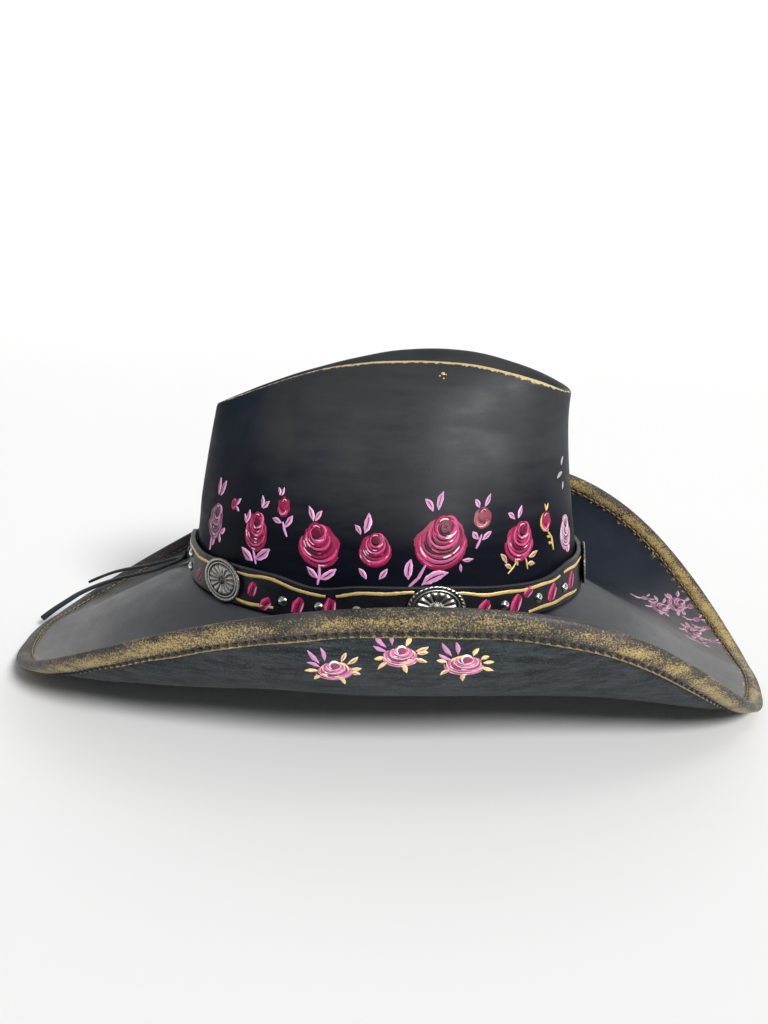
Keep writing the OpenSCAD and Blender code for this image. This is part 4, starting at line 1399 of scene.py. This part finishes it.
def paint_brim():
    art = Painting()
    under = ((0.30, 0.05, 0.13), (0.58, 0.17, 0.33), (0.76, 0.42, 0.55), (0.92, 0.82, 0.78))
    for flip in (False, True):
        for d, t, w, h in FLOWERS_UNDER:
            patch = brim_patch(360 - d if flip else d, t, -1)
            leaves(art, patch, [(-6, 4, 8, -34, 2.4), (-3.6, 5, 6.5, -12, 2.2), (-6, 2, 6, -62, 2.2)],
                   LILAC)
            brim_flower(art, patch, w, h, under, (0.84, 0.60, 0.27))
        for d, t, w, h in FLOWERS_FRONT:
            brim_flower(art, brim_patch(-d if flip else d, t, 1), w, h, DUSK, DUSK[2])
        for d, t in BUDS_FRONT:
            patch = brim_patch(-d if flip else d, t, 1)
            leaves(art, patch, [(-1, 2, 4, -26, 1.6), (1, 2, 4, 24, 1.6), (0, -2, 4.5, 160, 1.6)], DUSK[2])
            art.stroke(patch, [(0, -2), (2.0, -5.5), (5.0, -7.0)], 1.0, DUSK[2], taper=0.3)
            bud(art, patch, 5, 4.5, DUSK)
    art.build("brim_roses", "rose_paint", "rose_paint", "hat")


# Petals on the strap: place, mm up, length, lean, width, before they are stretched and widened
STRAP_PETALS = [
    (211.5, -3, 6, 60, 3.4), (238.3, 1.5, 5.5, 38, 3.2), (243.0, -4.0, 5.5, 62, 3.2),
    (253.0, -2.0, 6.5, 40, 3.6), (262.0, -0.5, 6.8, 24, 3.8), (273.0, -3.0, 6.2, 60, 3.6),
    (303.0, -1.0, 6.8, 50, 3.8), (313.5, -1.0, 7, 42, 4.0), (318.0, 3.5, 4.5, 70, 2.6),
    (328.5, -0.5, 7.5, 46, 4.0), (340.5, 1.0, 6.5, 40, 3.8),
]
PETAL_STRETCH, PETAL_LONGEST = 1.6, 10.5
PETAL_SPREAD, PETAL_WIDEST = 1.75, 6.4
PETAL_TURN = 20
# Starts and ends of the gold lines, in degrees from the front and on past 360 round the far side
GOLD_HIGH = [
    (190, 221), (232, 261), (263.5, 284), (295, 333), (335, 354), (366, 396), (398, 426), (436, 462),
    (465, 488), (499, 530),
]
GOLD_LOW = [(232, 246), (318, 346), (374, 402), (474, 488)]


def gold_line(gilt, at, along, edge, start, end):
    """One long wavy line that follows the strap's upper or lower edge."""
    d = np.arange(start, end, 0.35)
    low, high = strap_low(np.radians(d)), strap_top(np.radians(d))
    height = (high - 3.0) if edge > 0 else 2.9 - low
    wave = 0.55 * np.sin(np.radians(d) * 9 + edge) + 0.3 * np.sin(np.radians(d) * 27)
    gilt.stroke(at, np.stack([along(d), height + wave], 1), 1.9, GILT, lift=0.16, taper=0.12, edge=CREAM)


# Strokes of a petal, as shares of its width and length: line, width, colour, lift in mm
PETAL_STROKES = [
    ([(-0.28, -0.4), (-0.34, 0), (-0.16, 0.44)], 0.34, PINK, 0.26),
    ([(0.1, -0.36), (0.04, 0.34)], 0.20, BLACK, 0.30),
    ([(0.36, -0.3), (0.34, 0.3)], 0.2, LILAC, 0.26),
]


def strap_petal(art, at, length, width):
    """A broad oval petal with a dark fold along it."""
    art.blob(at, (0, 0), 0.56 * width, 0.5 * length, MAGENTA, lift=0.16)
    for line, wide, hue, lift in PETAL_STROKES:
        art.stroke(at, [(x * width, y * length) for x, y in line], wide * width, hue, lift=lift)


def paint_strap():
    art, gilt = Painting(), Painting()
    at, along = strap_patch()
    for edge, spans in ((1, GOLD_HIGH), (-1, GOLD_LOW)):
        for start, end in spans:
            gold_line(gilt, at, along, edge, start, end)
    for d, up, length, lean, width in STRAP_PETALS:
        length = min(PETAL_STRETCH * length, PETAL_LONGEST)
        width = min(PETAL_SPREAD * width, PETAL_WIDEST)
        for place in (d, 360 - d):
            here = moved(at, float(along(place)), up)
            strap_petal(art, tilted(here, lean - PETAL_TURN), length, width)
    art.build("strap_petals", "rose_paint", "rose_paint", "hatband")
    gilt.build("strap_gold_lines", "gold_paint", "gold_paint", "hatband")


paint_crown()
paint_brim()
paint_strap()

# ---------------------------------------------------------------- hidden metal kept from the design

for kept, kept_material in (("brim_wire", MAT["wire"]), ("concho_screws", MAT["nickel"])):
    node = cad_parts[kept]
    node.data.materials.clear()
    node.data.materials.append(kept_material)

# ---------------------------------------------------------------- stage and light


def floor_material():
    """Pale floor; the sweep behind it is a little darker, so that it does not glare."""
    s = Shader("pale_floor")
    floor = s.mix(s.noise(3, 2), (0.875, 0.875, 0.867), (0.89, 0.89, 0.882))
    return s.finish(s.mix(s.ramp(s.height(), 0.05, 0.9), floor, (0.74, 0.74, 0.735)), 0.85,
                    Specular_IOR_Level=0.1)


def make_stage():
    """A floor that sweeps up into a backdrop far behind the hat."""
    rows = [(-3.0, 0.0), (1.2, 0.0)]
    rows += [(1.2 + 1.5 * math.sin(u), 1.5 - 1.5 * math.cos(u)) for u in np.linspace(0.08, math.pi / 2, 20)]
    rows += [(2.7, 4.0)]
    verts = [(x * 1000, y * 1000, z * 1000) for y, z in rows for x in (-4.0, 4.0)]
    faces = [(2 * i, 2 * i + 1, 2 * i + 3, 2 * i + 2) for i in range(len(rows) - 1)]
    mesh = bpy.data.meshes.new("backdrop")
    mesh.from_pydata((np.array(verts) * MM).tolist(), [], faces)
    mesh.materials.append(floor_material())
    mesh.polygons.foreach_set("use_smooth", [True] * len(mesh.polygons))
    obj = bpy.data.objects.new("backdrop", mesh)
    bpy.context.scene.collection.objects.link(obj)


def area_light(name, at, target, size, power, color=(1, 1, 1)):
    data = bpy.data.lights.new(name, "AREA")
    data.shape, data.size, data.energy, data.color = "DISK", size, power, color
    light = bpy.data.objects.new(name, data)
    light.location = at
    light.rotation_euler = (Vector(target) - Vector(at)).to_track_quat("-Z", "Y").to_euler()
    bpy.context.scene.collection.objects.link(light)


WINDOW_POWER, WINDOW_WIDTH = 3.4, math.radians(17)
ROOM_COLOR, ROOM_GLOW = (0.97, 0.985, 1.0, 1), 0.29


def make_lights():
    """A wide window in front and to the right, in a pale room."""
    world = bpy.data.worlds.new("studio")
    bpy.context.scene.world = world
    world.use_nodes = True
    world.node_tree.nodes["Background"].inputs["Color"].default_value = ROOM_COLOR
    world.node_tree.nodes["Background"].inputs["Strength"].default_value = ROOM_GLOW
    data = bpy.data.lights.new("window", "SUN")
    data.energy, data.angle = WINDOW_POWER, WINDOW_WIDTH
    window = bpy.data.objects.new("window", data)
    window.rotation_euler = Vector((-0.52, 0.66, -0.60)).to_track_quat("-Z", "Y").to_euler()
    bpy.context.scene.collection.objects.link(window)
    area_light("top_right", (0.7, 0.1, 1.1), (0.02, 0, 0.12), 0.5, 1.2)
    bpy.context.scene.view_settings.view_transform = "Standard"


make_stage()
make_lights()
